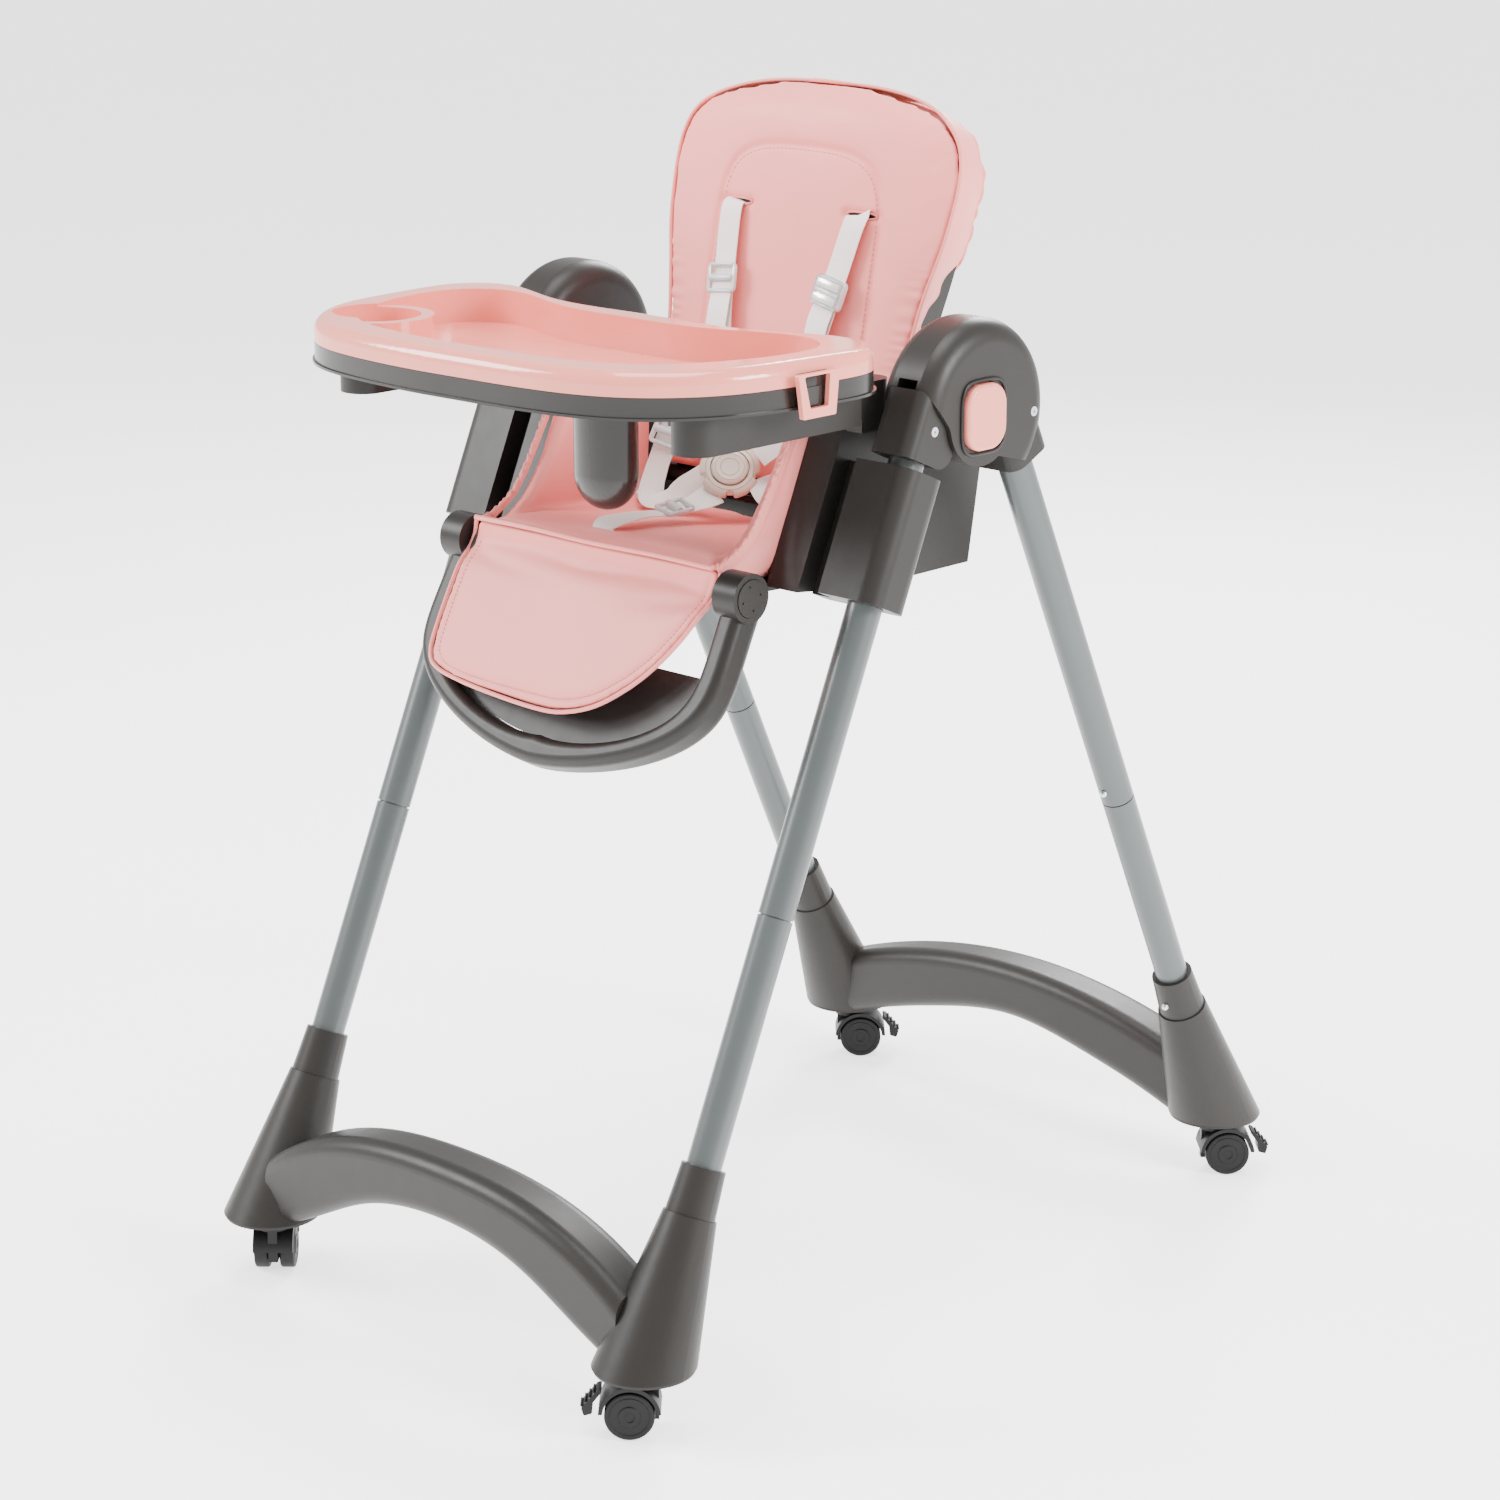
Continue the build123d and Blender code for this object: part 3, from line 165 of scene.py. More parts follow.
def mesh_object(name, vertices, faces):
    """New mesh object from lists of vertices and faces, with its normals facing out."""
    mesh = bpy.data.meshes.new(name)
    mesh.from_pydata([tuple(v) for v in vertices], [], faces)
    mesh.validate()
    obj = bpy.data.objects.new(name, mesh)
    bpy.context.collection.objects.link(obj)
    face_outwards(obj)
    return obj


def face_outwards(obj):
    """Recalculates a closed mesh's normals."""
    make_active(obj)
    bpy.ops.object.mode_set(mode="EDIT")
    bpy.ops.mesh.select_all(action="SELECT")
    bpy.ops.mesh.remove_doubles(threshold=1e-5)
    bpy.ops.mesh.normals_make_consistent(inside=False)
    bpy.ops.object.mode_set(mode="OBJECT")


def apply_modifier(obj, kind, **settings):
    """Adds a modifier, sets it and applies it."""
    make_active(obj)
    modifier = obj.modifiers.new(kind.title(), kind)
    for key, value in settings.items():
        setattr(modifier, key, value)
    bpy.ops.object.modifier_apply(modifier=modifier.name)


def smooth(obj, angle=35.0):
    """Smooth shading with creases kept."""
    make_active(obj)
    bpy.ops.object.shade_smooth_by_angle(angle=math.radians(angle))


def points_of(obj):
    """A mesh's vertices as an array."""
    count = len(obj.data.vertices)
    data = np.empty(count * 3)
    obj.data.vertices.foreach_get("co", data)
    return data.reshape(count, 3)


def set_points(obj, points):
    """Writes an array back into a mesh."""
    obj.data.vertices.foreach_set("co", np.ascontiguousarray(points).reshape(-1))
    obj.data.update()


def normals_of(obj):
    """A mesh's vertex normals as an array."""
    count = len(obj.data.vertices)
    data = np.empty(count * 3)
    obj.data.vertex_normals.foreach_get("vector", data)
    return data.reshape(count, 3)


def curve_through(points, count):
    """Evenly spaced points on a smooth line through a few given points."""
    points = np.array([tuple(p) for p in points], float)
    ends = np.vstack([2 * points[0] - points[1], points, 2 * points[-1] - points[-2]])
    dense = []
    for i in range(1, len(ends) - 2):
        p0, p1, p2, p3 = ends[i - 1:i + 3]
        for t in np.linspace(0, 1, 24, endpoint=False):
            a = 2 * p1
            b = p2 - p0
            c = 2 * p0 - 5 * p1 + 4 * p2 - p3
            d = -p0 + 3 * p1 - 3 * p2 + p3
            dense.append(0.5 * (a + b * t + c * t * t + d * t ** 3))
    dense.append(points[-1])
    dense = np.array(dense)
    along = np.concatenate([[0], np.cumsum(np.linalg.norm(np.diff(dense, axis=0), axis=1))])
    spots = np.linspace(0, along[-1], count)
    return np.stack([np.interp(spots, along, dense[:, k]) for k in range(3)], axis=1)


def smoothstep(low, high, value):
    """Smooth change from 0 to 1 between two values."""
    t = np.clip((np.asarray(value, float) - low) / (high - low), 0, 1)
    return t * t * (3 - 2 * t)


def back_point(x, depth, height):
    """World place of a point given along the backrest, from the recline pivot."""
    return Vector((x, BACK_PIVOT.y + depth * math.cos(BACK_LEAN) + height * math.sin(BACK_LEAN),
                   BACK_PIVOT.z - depth * math.sin(BACK_LEAN) + height * math.cos(BACK_LEAN)))


def back_local(points):
    """Across, depth and height along the backrest of world points."""
    y = points[:, 1] - BACK_PIVOT.y
    z = points[:, 2] - BACK_PIVOT.z
    return (points[:, 0], y * math.cos(BACK_LEAN) - z * math.sin(BACK_LEAN),
            y * math.sin(BACK_LEAN) + z * math.cos(BACK_LEAN))


def foot_point(x, depth, height):
    """World place of a point given along the footrest, from its pivot."""
    return Vector((x, FOOT_PIVOT.y + depth * math.cos(FOOT_LEAN) + height * math.sin(FOOT_LEAN),
                   FOOT_PIVOT.z - depth * math.sin(FOOT_LEAN) + height * math.cos(FOOT_LEAN)))


def foot_local(points):
    """Across, depth and height along the footrest of world points."""
    y = points[:, 1] - FOOT_PIVOT.y
    z = points[:, 2] - FOOT_PIVOT.z
    return (points[:, 0], y * math.cos(FOOT_LEAN) - z * math.sin(FOOT_LEAN),
            y * math.sin(FOOT_LEAN) + z * math.cos(FOOT_LEAN))


# ------------------------------------------------------------------ materials
class Nodes:
    """Short way to write a material's node tree."""

    def __init__(self, name):
        self.material = bpy.data.materials.get(name) or bpy.data.materials.new(name)
        self.material.use_nodes = True
        self.tree = self.material.node_tree
        self.tree.nodes.clear()
        self.output = self.tree.nodes.new("ShaderNodeOutputMaterial")
        self.shader = self.add("ShaderNodeBsdfPrincipled")
        self.link(self.shader, "BSDF", self.output, "Surface")

    def add(self, kind, inputs=None, **settings):
        node = self.tree.nodes.new(kind)
        for key, value in settings.items():
            setattr(node, key, value)
        for key, value in (inputs or {}).items():
            node.inputs[key].default_value = value
        return node

    def link(self, source, output, target, socket):
        self.tree.links.new(source.outputs[output], target.inputs[socket])

    def coordinates(self, scale=(1, 1, 1), output="Object"):
        source = self.add("ShaderNodeTexCoord")
        mapping = self.add("ShaderNodeMapping", {"Scale": scale})
        self.link(source, output, mapping, "Vector")
        return mapping

    def noise(self, place, scale, detail=3.0, rough=0.5):
        node = self.add("ShaderNodeTexNoise", {"Scale": scale, "Detail": detail, "Roughness": rough})
        self.link(place, "Vector", node, "Vector")
        return node

    def ramp(self, source, output, stops):
        node = self.add("ShaderNodeValToRGB")
        node.color_ramp.elements[0].position = stops[0][0]
        node.color_ramp.elements[0].color = stops[0][1]
        node.color_ramp.elements[1].position = stops[-1][0]
        node.color_ramp.elements[1].color = stops[-1][1]
        for place, colour in stops[1:-1]:
            node.color_ramp.elements.new(place).color = colour
        self.link(source, output, node, "Fac")
        return node

    def bump(self, source, output, strength, distance, below=None):
        node = self.add("ShaderNodeBump", {"Strength": strength, "Distance": distance})
        self.link(source, output, node, "Height")
        if below:
            self.link(below, "Normal", node, "Normal")
        self.link(node, "Normal", self.shader, "Normal")
        return node

    def set(self, **sockets):
        for key, value in sockets.items():
            self.shader.inputs[key.replace("_", " ")].default_value = value


def shade(colour, factor):
    """A colour made lighter or darker, with alpha."""
    return tuple(min(channel * factor, 1.0) for channel in colour) + (1.0,)


def tinted(nodes, place, colour, scale, spread):
    """Slow colour variation over a surface."""
    clouds = nodes.noise(place, scale, 4.0, 0.55)
    ramp = nodes.ramp(clouds, "Fac", [(0.3, shade(colour, 1 - spread)), (0.7, shade(colour, 1 + spread))])
    nodes.link(ramp, "Color", nodes.shader, "Base Color")
    return clouds


def roughness_from(nodes, source, low, high):
    """Roughness that follows a texture between two values."""
    ramp = nodes.add("ShaderNodeMapRange", {"To Min": low, "To Max": high})
    nodes.link(source, "Fac", ramp, "Value")
    nodes.link(ramp, "Result", nodes.shader, "Roughness")


def moulded_plastic(name, colour, low, high, grain=1400.0, strength=0.18, coat=0.0):
    """Injection moulded plastic with a fine spark-eroded texture and faint rubbing marks."""
    nodes = Nodes(name)
    place = nodes.coordinates()
    tinted(nodes, place, colour, 9.0, 0.05)
    marks = nodes.noise(place, 60.0, 5.0, 0.65)
    roughness_from(nodes, marks, low, high)
    texture = nodes.noise(place, grain, 2.0)
    wave = nodes.noise(place, 26.0, 2.0)
    broad = nodes.bump(wave, "Fac", 0.08, 0.002)
    nodes.bump(texture, "Fac", strength, 0.0002, broad)
    nodes.set(Specular_IOR_Level=0.28, Coat_Weight=coat, Coat_Roughness=0.15)
    return nodes.material


def glossy_plastic(name, colour, low=0.10, high=0.22):
    """Polished plastic with slight sink marks."""
    nodes = Nodes(name)
    place = nodes.coordinates()
    tinted(nodes, place, colour, 5.0, 0.025)
    marks = nodes.noise(place, 35.0, 5.0, 0.6)
    roughness_from(nodes, marks, low, high)
    wave = nodes.noise(place, 14.0, 2.0)
    nodes.bump(wave, "Fac", 0.06, 0.003)
    nodes.set(Specular_IOR_Level=0.5, Coat_Weight=0.3, Coat_Roughness=0.08, Subsurface_Weight=0.05)
    return nodes.material


def painted_tube(name, colour):
    """Powder coat over steel, with orange peel and a soft gloss."""
    nodes = Nodes(name)
    place = nodes.coordinates()
    tinted(nodes, place, colour, 16.0, 0.035)
    marks = nodes.noise(place, 90.0, 4.0, 0.6)
    roughness_from(nodes, marks, 0.30, 0.40)
    peel = nodes.noise(place, 420.0, 2.0)
    nodes.bump(peel, "Fac", 0.10, 0.0003)
    nodes.set(Metallic=0.25, Coat_Weight=0.25, Coat_Roughness=0.22)
    return nodes.material


def zinc_steel(name):
    """Bluish zinc plating on screws and pins."""
    nodes = Nodes(name)
    place = nodes.coordinates()
    tinted(nodes, place, (0.60, 0.64, 0.67), 300.0, 0.12)
    marks = nodes.noise(place, 900.0, 4.0)
    roughness_from(nodes, marks, 0.22, 0.42)
    nodes.bump(marks, "Fac", 0.15, 0.0001)
    nodes.set(Metallic=1.0)
    return nodes.material


def coated_fabric(name, colour, gather=0.0):
    """Soft coated cover: fine leather grain, slow tone changes and a light sheen."""
    nodes = Nodes(name)
    place = nodes.coordinates()
    tinted(nodes, place, colour, 7.0, 0.035)
    marks = nodes.noise(place, 40.0, 5.0, 0.6)
    roughness_from(nodes, marks, 0.40, 0.52)
    cells = nodes.add("ShaderNodeTexVoronoi", {"Scale": 900.0}, feature="DISTANCE_TO_EDGE")
    nodes.link(place, "Vector", cells, "Vector")
    creases = nodes.noise(place, 34.0, 6.0, 0.62)
    broad = nodes.bump(creases, "Fac", 0.10 + gather, 0.004)
    nodes.bump(cells, "Distance", 0.10, 0.0004, broad)
    nodes.set(Sheen_Weight=0.05, Sheen_Roughness=0.5, Subsurface_Weight=0.04, Specular_IOR_Level=0.35)
    return nodes.material


def woven_webbing(name, colour):
    """Flat woven strap: ribs across and edges picked out, on the strap's own UV map."""
    nodes = Nodes(name)
    place = nodes.coordinates(output="UV")
    weft = nodes.add("ShaderNodeTexWave", {"Scale": 260.0, "Distortion": 0.4, "Detail": 1.0},
                     wave_type="BANDS", bands_direction="Y")
    nodes.link(place, "Vector", weft, "Vector")
    warp = nodes.add("ShaderNodeTexWave", {"Scale": 3.2, "Distortion": 0.2},
                     wave_type="BANDS", bands_direction="X")
    nodes.link(place, "Vector", warp, "Vector")
    ramp = nodes.ramp(warp, "Fac", [(0.0, shade(colour, 0.90)), (0.6, shade(colour, 1.0)),
                                    (1.0, shade(colour, 1.06))])
    nodes.link(ramp, "Color", nodes.shader, "Base Color")
    ribs = nodes.bump(warp, "Fac", 0.20, 0.0005)
    nodes.bump(weft, "Fac", 0.30, 0.0003, ribs)
    nodes.set(Roughness=0.55, Sheen_Weight=0.25, Sheen_Roughness=0.4)
    return nodes.material


def translucent_plastic(name):
    """Milky clear plastic of the strap adjusters."""
    nodes = Nodes(name)
    place = nodes.coordinates()
    tinted(nodes, place, (0.88, 0.86, 0.84), 40.0, 0.03)
    marks = nodes.noise(place, 200.0, 3.0)
    roughness_from(nodes, marks, 0.12, 0.24)
    nodes.set(Transmission_Weight=0.35, IOR=1.49, Subsurface_Weight=0.2, Coat_Weight=0.4)
    return nodes.material


MATERIALS = {}


def make_materials():
    """Every finish of the chair."""
    colours = bpy.context.scene.chair_colours
    frame_colour = tuple(colours.frame)
    MATERIALS.update(
        dark_plastic=moulded_plastic("dark_plastic", frame_colour, 0.36, 0.46),
        tray_dark=moulded_plastic("tray_dark", shade(frame_colour, 0.95)[:3], 0.20, 0.30, 900.0, 0.06, 0.3),
        tray_pink=glossy_plastic("tray_pink", tuple(colours.tray)),
        button_pink=glossy_plastic("button_pink", shade(tuple(colours.tray), 0.95)[:3], 0.28, 0.36),
        rim_dark=moulded_plastic("rim_dark", shade(frame_colour, 0.7)[:3], 0.34, 0.44),
        tube_paint=painted_tube("tube_paint", tuple(colours.tube)),
        steel=zinc_steel("steel"),
        caster_black=moulded_plastic("caster_black", (0.0025, 0.0025, 0.0027), 0.40, 0.55),
        wheel_black=moulded_plastic("wheel_black", (0.003, 0.003, 0.0032), 0.50, 0.62, 800.0, 0.25),
        lever_grey=moulded_plastic("lever_grey", (0.17, 0.195, 0.205), 0.38, 0.48),
        cushion_pink=coated_fabric("cushion_pink", tuple(colours.cover)),
        piping_pink=coated_fabric("piping_pink", shade(tuple(colours.cover), 0.94)[:3], 0.1),
        thread_pink=coated_fabric("thread_pink", shade(tuple(colours.cover), 0.72)[:3]),
        # Near-black finish of the boxes in the strap slots: painted shade inside the openings.
        slot_dark=moulded_plastic("slot_dark", (0.02, 0.014, 0.013), 0.7, 0.8),
        webbing=woven_webbing("webbing", tuple(colours.webbing)),
        adjuster_clear=translucent_plastic("adjuster_clear"),
        buckle_cream=glossy_plastic("buckle_cream", tuple(colours.buckle), 0.26, 0.36),
    )


def finish_frame():
    """Puts each finish on the CAD nodes that stay visible."""
    for part in frame["record"]["subparts"]:
        node = frame["nodes"][part["node"]]
        slot = part["material_slot"]
        if part["node"].startswith("fold_button"):
            slot = "button_pink"
        node.data.materials.clear()
        node.data.materials.append(MATERIALS[slot])


# ------------------------------------------------------------------ padded pieces
def remesh(obj, size):
    """Even cells all over a closed piece."""
    make_active(obj)
    obj.data.remesh_voxel_size = size
    bpy.ops.object.voxel_remesh()


def inflate(obj, cap, pinned=None, pressure=4.0):
    """Lets a filling swell a closed cover, by at most `cap`."""
    start = points_of(obj)
    group = obj.vertex_groups.new(name="held")
    if pinned is not None:
        group.add([int(i) for i in np.flatnonzero(pinned)], 1.0, "REPLACE")
    cloth = obj.modifiers.new("Cloth", "CLOTH")
    settings = cloth.settings
    settings.quality = 6
    settings.mass = 0.3
    settings.tension_stiffness = 20
    settings.compression_stiffness = 20
    settings.shear_stiffness = 8
    settings.bending_stiffness = 1.5
    settings.use_pressure = True
    settings.uniform_pressure_force = pressure
    settings.effector_weights.gravity = 0.0
    if pinned is not None:
        settings.vertex_group_mass = "held"
    frames = bpy.context.scene.chair_upholstery.frames
    cloth.point_cache.frame_start = 1
    cloth.point_cache.frame_end = frames
    for number in range(1, frames + 1):
        bpy.context.scene.frame_set(number)
    make_active(obj)
    bpy.ops.object.modifier_apply(modifier=cloth.name)
    bpy.context.scene.frame_set(1)
    move = points_of(obj) - start
    length = np.linalg.norm(move, axis=1, keepdims=True)
    limited = cap * np.tanh(length / cap)
    set_points(obj, start + move * limited / np.maximum(length, 1e-9))
    obj.vertex_groups.clear()


def relax(obj, factor, rounds):
    """Rounds off a mesh."""
    apply_modifier(obj, "SMOOTH", factor=factor, iterations=rounds)


def refine(obj):
    """One level of subdivision."""
    apply_modifier(obj, "SUBSURF", levels=1, render_levels=1)


def press_seams(obj, local, lines, depth, width):
    """Presses sewn lines, given as (across, height) points, into the front of a pad."""
    points = points_of(obj)
    normals = normals_of(obj)
    across, deep, height = local(points)
    along_normal = local(points + normals * 0.001)[1] - deep
    facing = np.clip(-along_normal / 0.001, 0, 1)
    push = np.zeros(len(points))
    for line in lines:
        spots = np.array(line)
        near = np.full(len(points), 1.0)
        for x, z in spots:
            near = np.minimum(near, (across - x) ** 2 + (height - z) ** 2)
        push = np.maximum(push, np.exp(-near / (2 * width * width)))
    set_points(obj, points - normals * (push * facing * depth)[:, None])


def surface_tree(obj):
    """Search tree of a finished piece's faces."""
    mesh = obj.data
    polygons = [tuple(p.vertices) for p in mesh.polygons]
    return BVHTree.FromPolygons([v.co.copy() for v in mesh.vertices], polygons)


def drop_on(tree, point, direction):
    """Where a line from a point first meets a piece, and the surface normal there."""
    start = Vector(point) - Vector(direction) * 0.08
    place, normal, _, _ = tree.ray_cast(start, Vector(direction), 0.2)
    if place is None:
        return Vector(point), -Vector(direction)
    return place, normal


def piping(name, points, radius, body, closed=False):
    """Round piped edge along a line of points."""
    curve = bpy.data.curves.new(name, "CURVE")
    curve.dimensions = "3D"
    curve.bevel_depth = radius
    curve.bevel_resolution = 3
    curve.use_fill_caps = not closed
    spline = curve.splines.new("POLY")
    spline.points.add(len(points) - 1)
    for spot, point in zip(spline.points, points):
        spot.co = (point[0], point[1], point[2], 1.0)
    spline.use_cyclic_u = closed
    obj = bpy.data.objects.new(name, curve)
    bpy.context.collection.objects.link(obj)
    make_active(obj)
    bpy.ops.object.convert(target="MESH")
    obj = bpy.context.object
    face_outwards(obj)
    smooth(obj, 60)
    return name_piece(obj, name, body, MATERIALS["piping_pink"])


def stitch_row(name, rows, body, length=0.0030, radius=0.00042):
    """Thread dashes: each row is a list of (place, normal) pairs along a seam."""
    vertices = []
    faces = []
    for row in rows:
        for (place, normal), (after, _) in zip(row[:-1], row[1:]):
            along = (after - place).normalized()
            side = along.cross(normal).normalized()
            lift = side.cross(along).normalized()
            if lift.dot(normal) < 0:
                lift = -lift
            first = len(vertices)
            for share, size in ((-0.5, 0.35), (-0.32, 1.0), (0.32, 1.0), (0.5, 0.35)):
                centre = place + along * length * share + lift * radius * (0.1 if size < 1 else 0.6)
                for k in range(4):
                    turn = math.pi / 4 + k * math.pi / 2
                    vertices.append(centre + (side * math.cos(turn) + lift * math.sin(turn)) * radius * size)
            for ring in range(3):
                for k in range(4):
                    a = first + ring * 4 + k
                    b = first + ring * 4 + (k + 1) % 4
                    faces.append((a, b, b + 4, a + 4))
            faces.append((first, first + 1, first + 2, first + 3))
            faces.append((first + 15, first + 14, first + 13, first + 12))
    obj = mesh_object(name, vertices, faces)
    smooth(obj, 60)
    return name_piece(obj, name, body, MATERIALS["thread_pink"])


# ------------------------------------------------------------------ back pad
BACK_WIDTHS = [(0.010, 0.137), (0.060, 0.138), (0.110, 0.141), (0.150, 0.144), (0.190, 0.151),
               (0.235, 0.1615), (0.284, 0.166), (0.312, 0.1615), (0.330, 0.150), (0.344, 0.130),
               (0.353, 0.105), (0.3585, 0.078), (0.3615, 0.045), (0.362, 0.0)]


def back_outline(count=72):
    """Half outline of the back pad from its foot to the middle of its top, as (across, height)."""
    line = curve_through([(w, 0, h) for h, w in BACK_WIDTHS], count)
    return line[:, [0, 2]]


def back_setback(x, height):
    """How far the pad's face lies behind its middle: the edges and top corners curl back."""
    width = np.interp(height, [h for h, _ in BACK_WIDTHS], [max(w, 0.02) for _, w in BACK_WIDTHS])
    share = np.clip(np.abs(x) / np.maximum(width, 0.02), 0, 1)
    corner = smoothstep(0.16, 0.33, height)
    top = smoothstep(0.33, 0.362, height) * 0.009
    return share ** 3 * (0.004 + 0.011 * corner) + top


def ring_pad(outline, centre, front, rear, rings=16):
    """Closed pad between a front and a rear surface over a closed outline of (across, height)."""
    vertices = []
    faces = []
    count = len(outline)
    for surface in (front, rear):
        for ring in range(1, rings + 1):
            share = ring / rings
            for x, z in outline:
                px = centre[0] + (x - centre[0]) * share
                pz = centre[1] + (z - centre[1]) * share
                vertices.append(surface(px, pz))
        vertices.append(surface(*centre))
    half = rings * count + 1
    for base in (0, half):
        hub = base + rings * count
        for k in range(count):
            after = (k + 1) % count
            faces.append((hub, base + k, base + after))
            for ring in range(rings - 1):
                a = base + ring * count
                faces.append((a + k, a + count + k, a + count + after, a + after))
    edge = (rings - 1) * count
    for k in range(count):
        after = (k + 1) % count
        faces.append((edge + k, half + edge + k, half + edge + after, edge + after))
    return vertices, faces


def closed_back_outline():
    """Whole outline of the back pad."""
    half = back_outline()
    right = [(x, z) for x, z in half]
    left = [(-x, z) for x, z in reversed(right[:-1])]
    return right + left


ARCH = [(0.0955, 0.020), (0.0955, 0.110), (0.0955, 0.200), (0.0945, 0.245), (0.090, 0.272),
        (0.078, 0.291), (0.056, 0.301), (0.028, 0.3045), (0.0, 0.305)]
ARCH_LENGTH = 0.78
STITCH_INSET = 0.0034        # stitches run this far inside the sewn outline
SLOT_X = 0.073
SLOT_HEIGHT = 0.2515


def arch_line(count):
    """Sewn outline of the back's middle panel, as (across, height)."""
    half = [(x, 0, z) for x, z in ARCH]
    whole = half + [(-x, 0, z) for x, _, z in reversed(half[:-1])]
    return curve_through(whole, count)[:, [0, 2]]


def make_back_pad():
    """Crowned back pad with its sewn middle panel, piped edge and strap slots."""
    sizes = bpy.context.scene.chair_upholstery
    inset = sizes.loft * 0.25
    outline = [(x * (1 - inset / 0.16), 0.012 + (z - 0.012) * (1 - inset / 0.35))
               for x, z in closed_back_outline()]

    def front(x, z):
        return back_point(x, BACK_FACE + sizes.loft * 0.45 + float(back_setback(x, z)), z)

    def rear(x, z):
        return back_point(x, BACK_REAR - inset * 0.5, z)

    vertices, faces = ring_pad(outline, (0.0, 0.18), front, rear)
    pad = mesh_object("back_pad", vertices, faces)
    remesh(pad, sizes.voxel)
    relax(pad, 0.5, 6)
    seam = arch_line(180)
    points = points_of(pad)
    across, deep, height = back_local(points)
    near = np.full(len(points), 1.0)
    for x, z in seam:
        near = np.minimum(near, np.hypot(across - x, height - z))
    turned = np.abs(back_local(points + normals_of(pad))[1] - deep) < 0.55
    inflate(pad, sizes.loft, pinned=(near < sizes.voxel * 0.6) | turned)
    refine(pad)
    press_seams(pad, back_local, [seam], 0.0022, 0.0020)
    slots = []
    for _, side in SIDES:
        slots.append([(side * SLOT_X + t, SLOT_HEIGHT) for t in np.linspace(-0.016, 0.016, 15)])
    press_seams(pad, back_local, slots, 0.0040, 0.0026)
    ripple_back(pad)
    smooth(pad, 80)
    name_piece(pad, "back_pad", "backrest", MATERIALS["cushion_pink"])
    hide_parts("back_cushion")
    tree = surface_tree(pad)
    towards = (back_point(0, 1, 0) - back_point(0, 0, 0)).normalized()

    def on_face(x, z):
        return drop_on(tree, back_point(x, BACK_FACE, z), towards)

    line = arch_line(int(ARCH_LENGTH / sizes.stitch))
    inner = [(x * (1 - STITCH_INSET / 0.0955), 0.02 + (z - 0.02) * (1 - STITCH_INSET / 0.285))
             for x, z in line]
    stitch_row("back_panel_stitches", [[on_face(x, z) for x, z in inner]], "backrest")
    edge = []
    for x, z in closed_back_outline()[4:-4]:
        depth = BACK_FACE + float(back_setback(x, z)) + 0.0050
        edge.append(back_point(x * 1.004, depth, z + (0.0012 if z > 0.3 else 0)))
    piping("back_piping", curve_through(edge, 220), sizes.piping * 0.8, "backrest")
    return pad, on_face


def ripple_back(pad):
    """Soft puckers where the cover is pulled round the pad's side edges."""
    points = points_of(pad)
    normals = normals_of(pad)
    across, _, height = back_local(points)
    width = np.interp(height, [h for h, _ in BACK_WIDTHS], [w for _, w in BACK_WIDTHS])
    edge = smoothstep(0.80, 1.0, np.abs(across) / np.maximum(width, 0.03))
    low = 1 - smoothstep(0.16, 0.24, height)
    wave = np.sin(height * 620 + np.sign(across) * 0.8 + 3 * np.sin(height * 90))
    set_points(pad, points + normals * (edge * low * wave * 0.0006)[:, None])


def cloth_strip(name, vertices, row, thickness):
    """Cloth with two faces from rows of points, `row` points each."""
    faces = []
    for first in range(0, len(vertices) - row, row):
        for a in range(first, first + row - 1):
            faces.append((a, a + 1, a + row + 1, a + row))
    mesh = bpy.data.meshes.new(name)
    mesh.from_pydata([tuple(v) for v in vertices], [], faces)
    obj = bpy.data.objects.new(name, mesh)
    bpy.context.collection.objects.link(obj)
    apply_modifier(obj, "SOLIDIFY", thickness=thickness, offset=0.0)
    apply_modifier(obj, "SUBSURF", levels=1, render_levels=1)
    face_outwards(obj)
    smooth(obj, 70)
    return obj


def make_hood():
    """Gathered pocket of the cover that wraps over the top and sides of the back shell."""
    steps = 96
    depth_steps = 12
    half = back_outline(60)
    half = half[half[:, 1] > 0.155]
    line = [(x, z) for x, z in half] + [(-x, z) for x, z in half[::-1][1:]]
    line = curve_through([(x, 0, z) for x, z in line], steps)[:, [0, 2]]
    vertices = []
    for i, (x, z) in enumerate(line):
        start = BACK_FACE + float(back_setback(x, z)) + 0.0035
        side = smoothstep(0.30, 0.36, z)
        reach = 0.016 + 0.024 * float(smoothstep(0.150, 0.235, z))
        for k in range(depth_steps + 1):
            share = k / depth_steps
            pull = share ** 1.5
            fold = math.sin(i * 1.9 + 2.2 * math.sin(i * 0.37)) * 0.0016 * share * (1 - 0.6 * float(side))
            fold += math.sin(i * 0.83 + 1.0) * 0.0012 * share
            centre_z = 0.22
            inward = -0.0012 + 0.012 * pull + fold
            length = math.hypot(x, z - centre_z)
            px = x - inward * x / length
            pz = z - inward * (z - centre_z) / length
            vertices.append(back_point(px, start + (reach + 0.004) * share, pz))
    row = depth_steps + 1
    obj = cloth_strip("hood", vertices, row, 0.0016)
    name_piece(obj, "cover_hood", "backrest", MATERIALS["cushion_pink"])
    hem = [vertices[i * row + row - 1] for i in range(len(line))]
    piping("hood_hem", curve_through(hem, 200), 0.0018, "backrest")
    make_hood_panel(line)


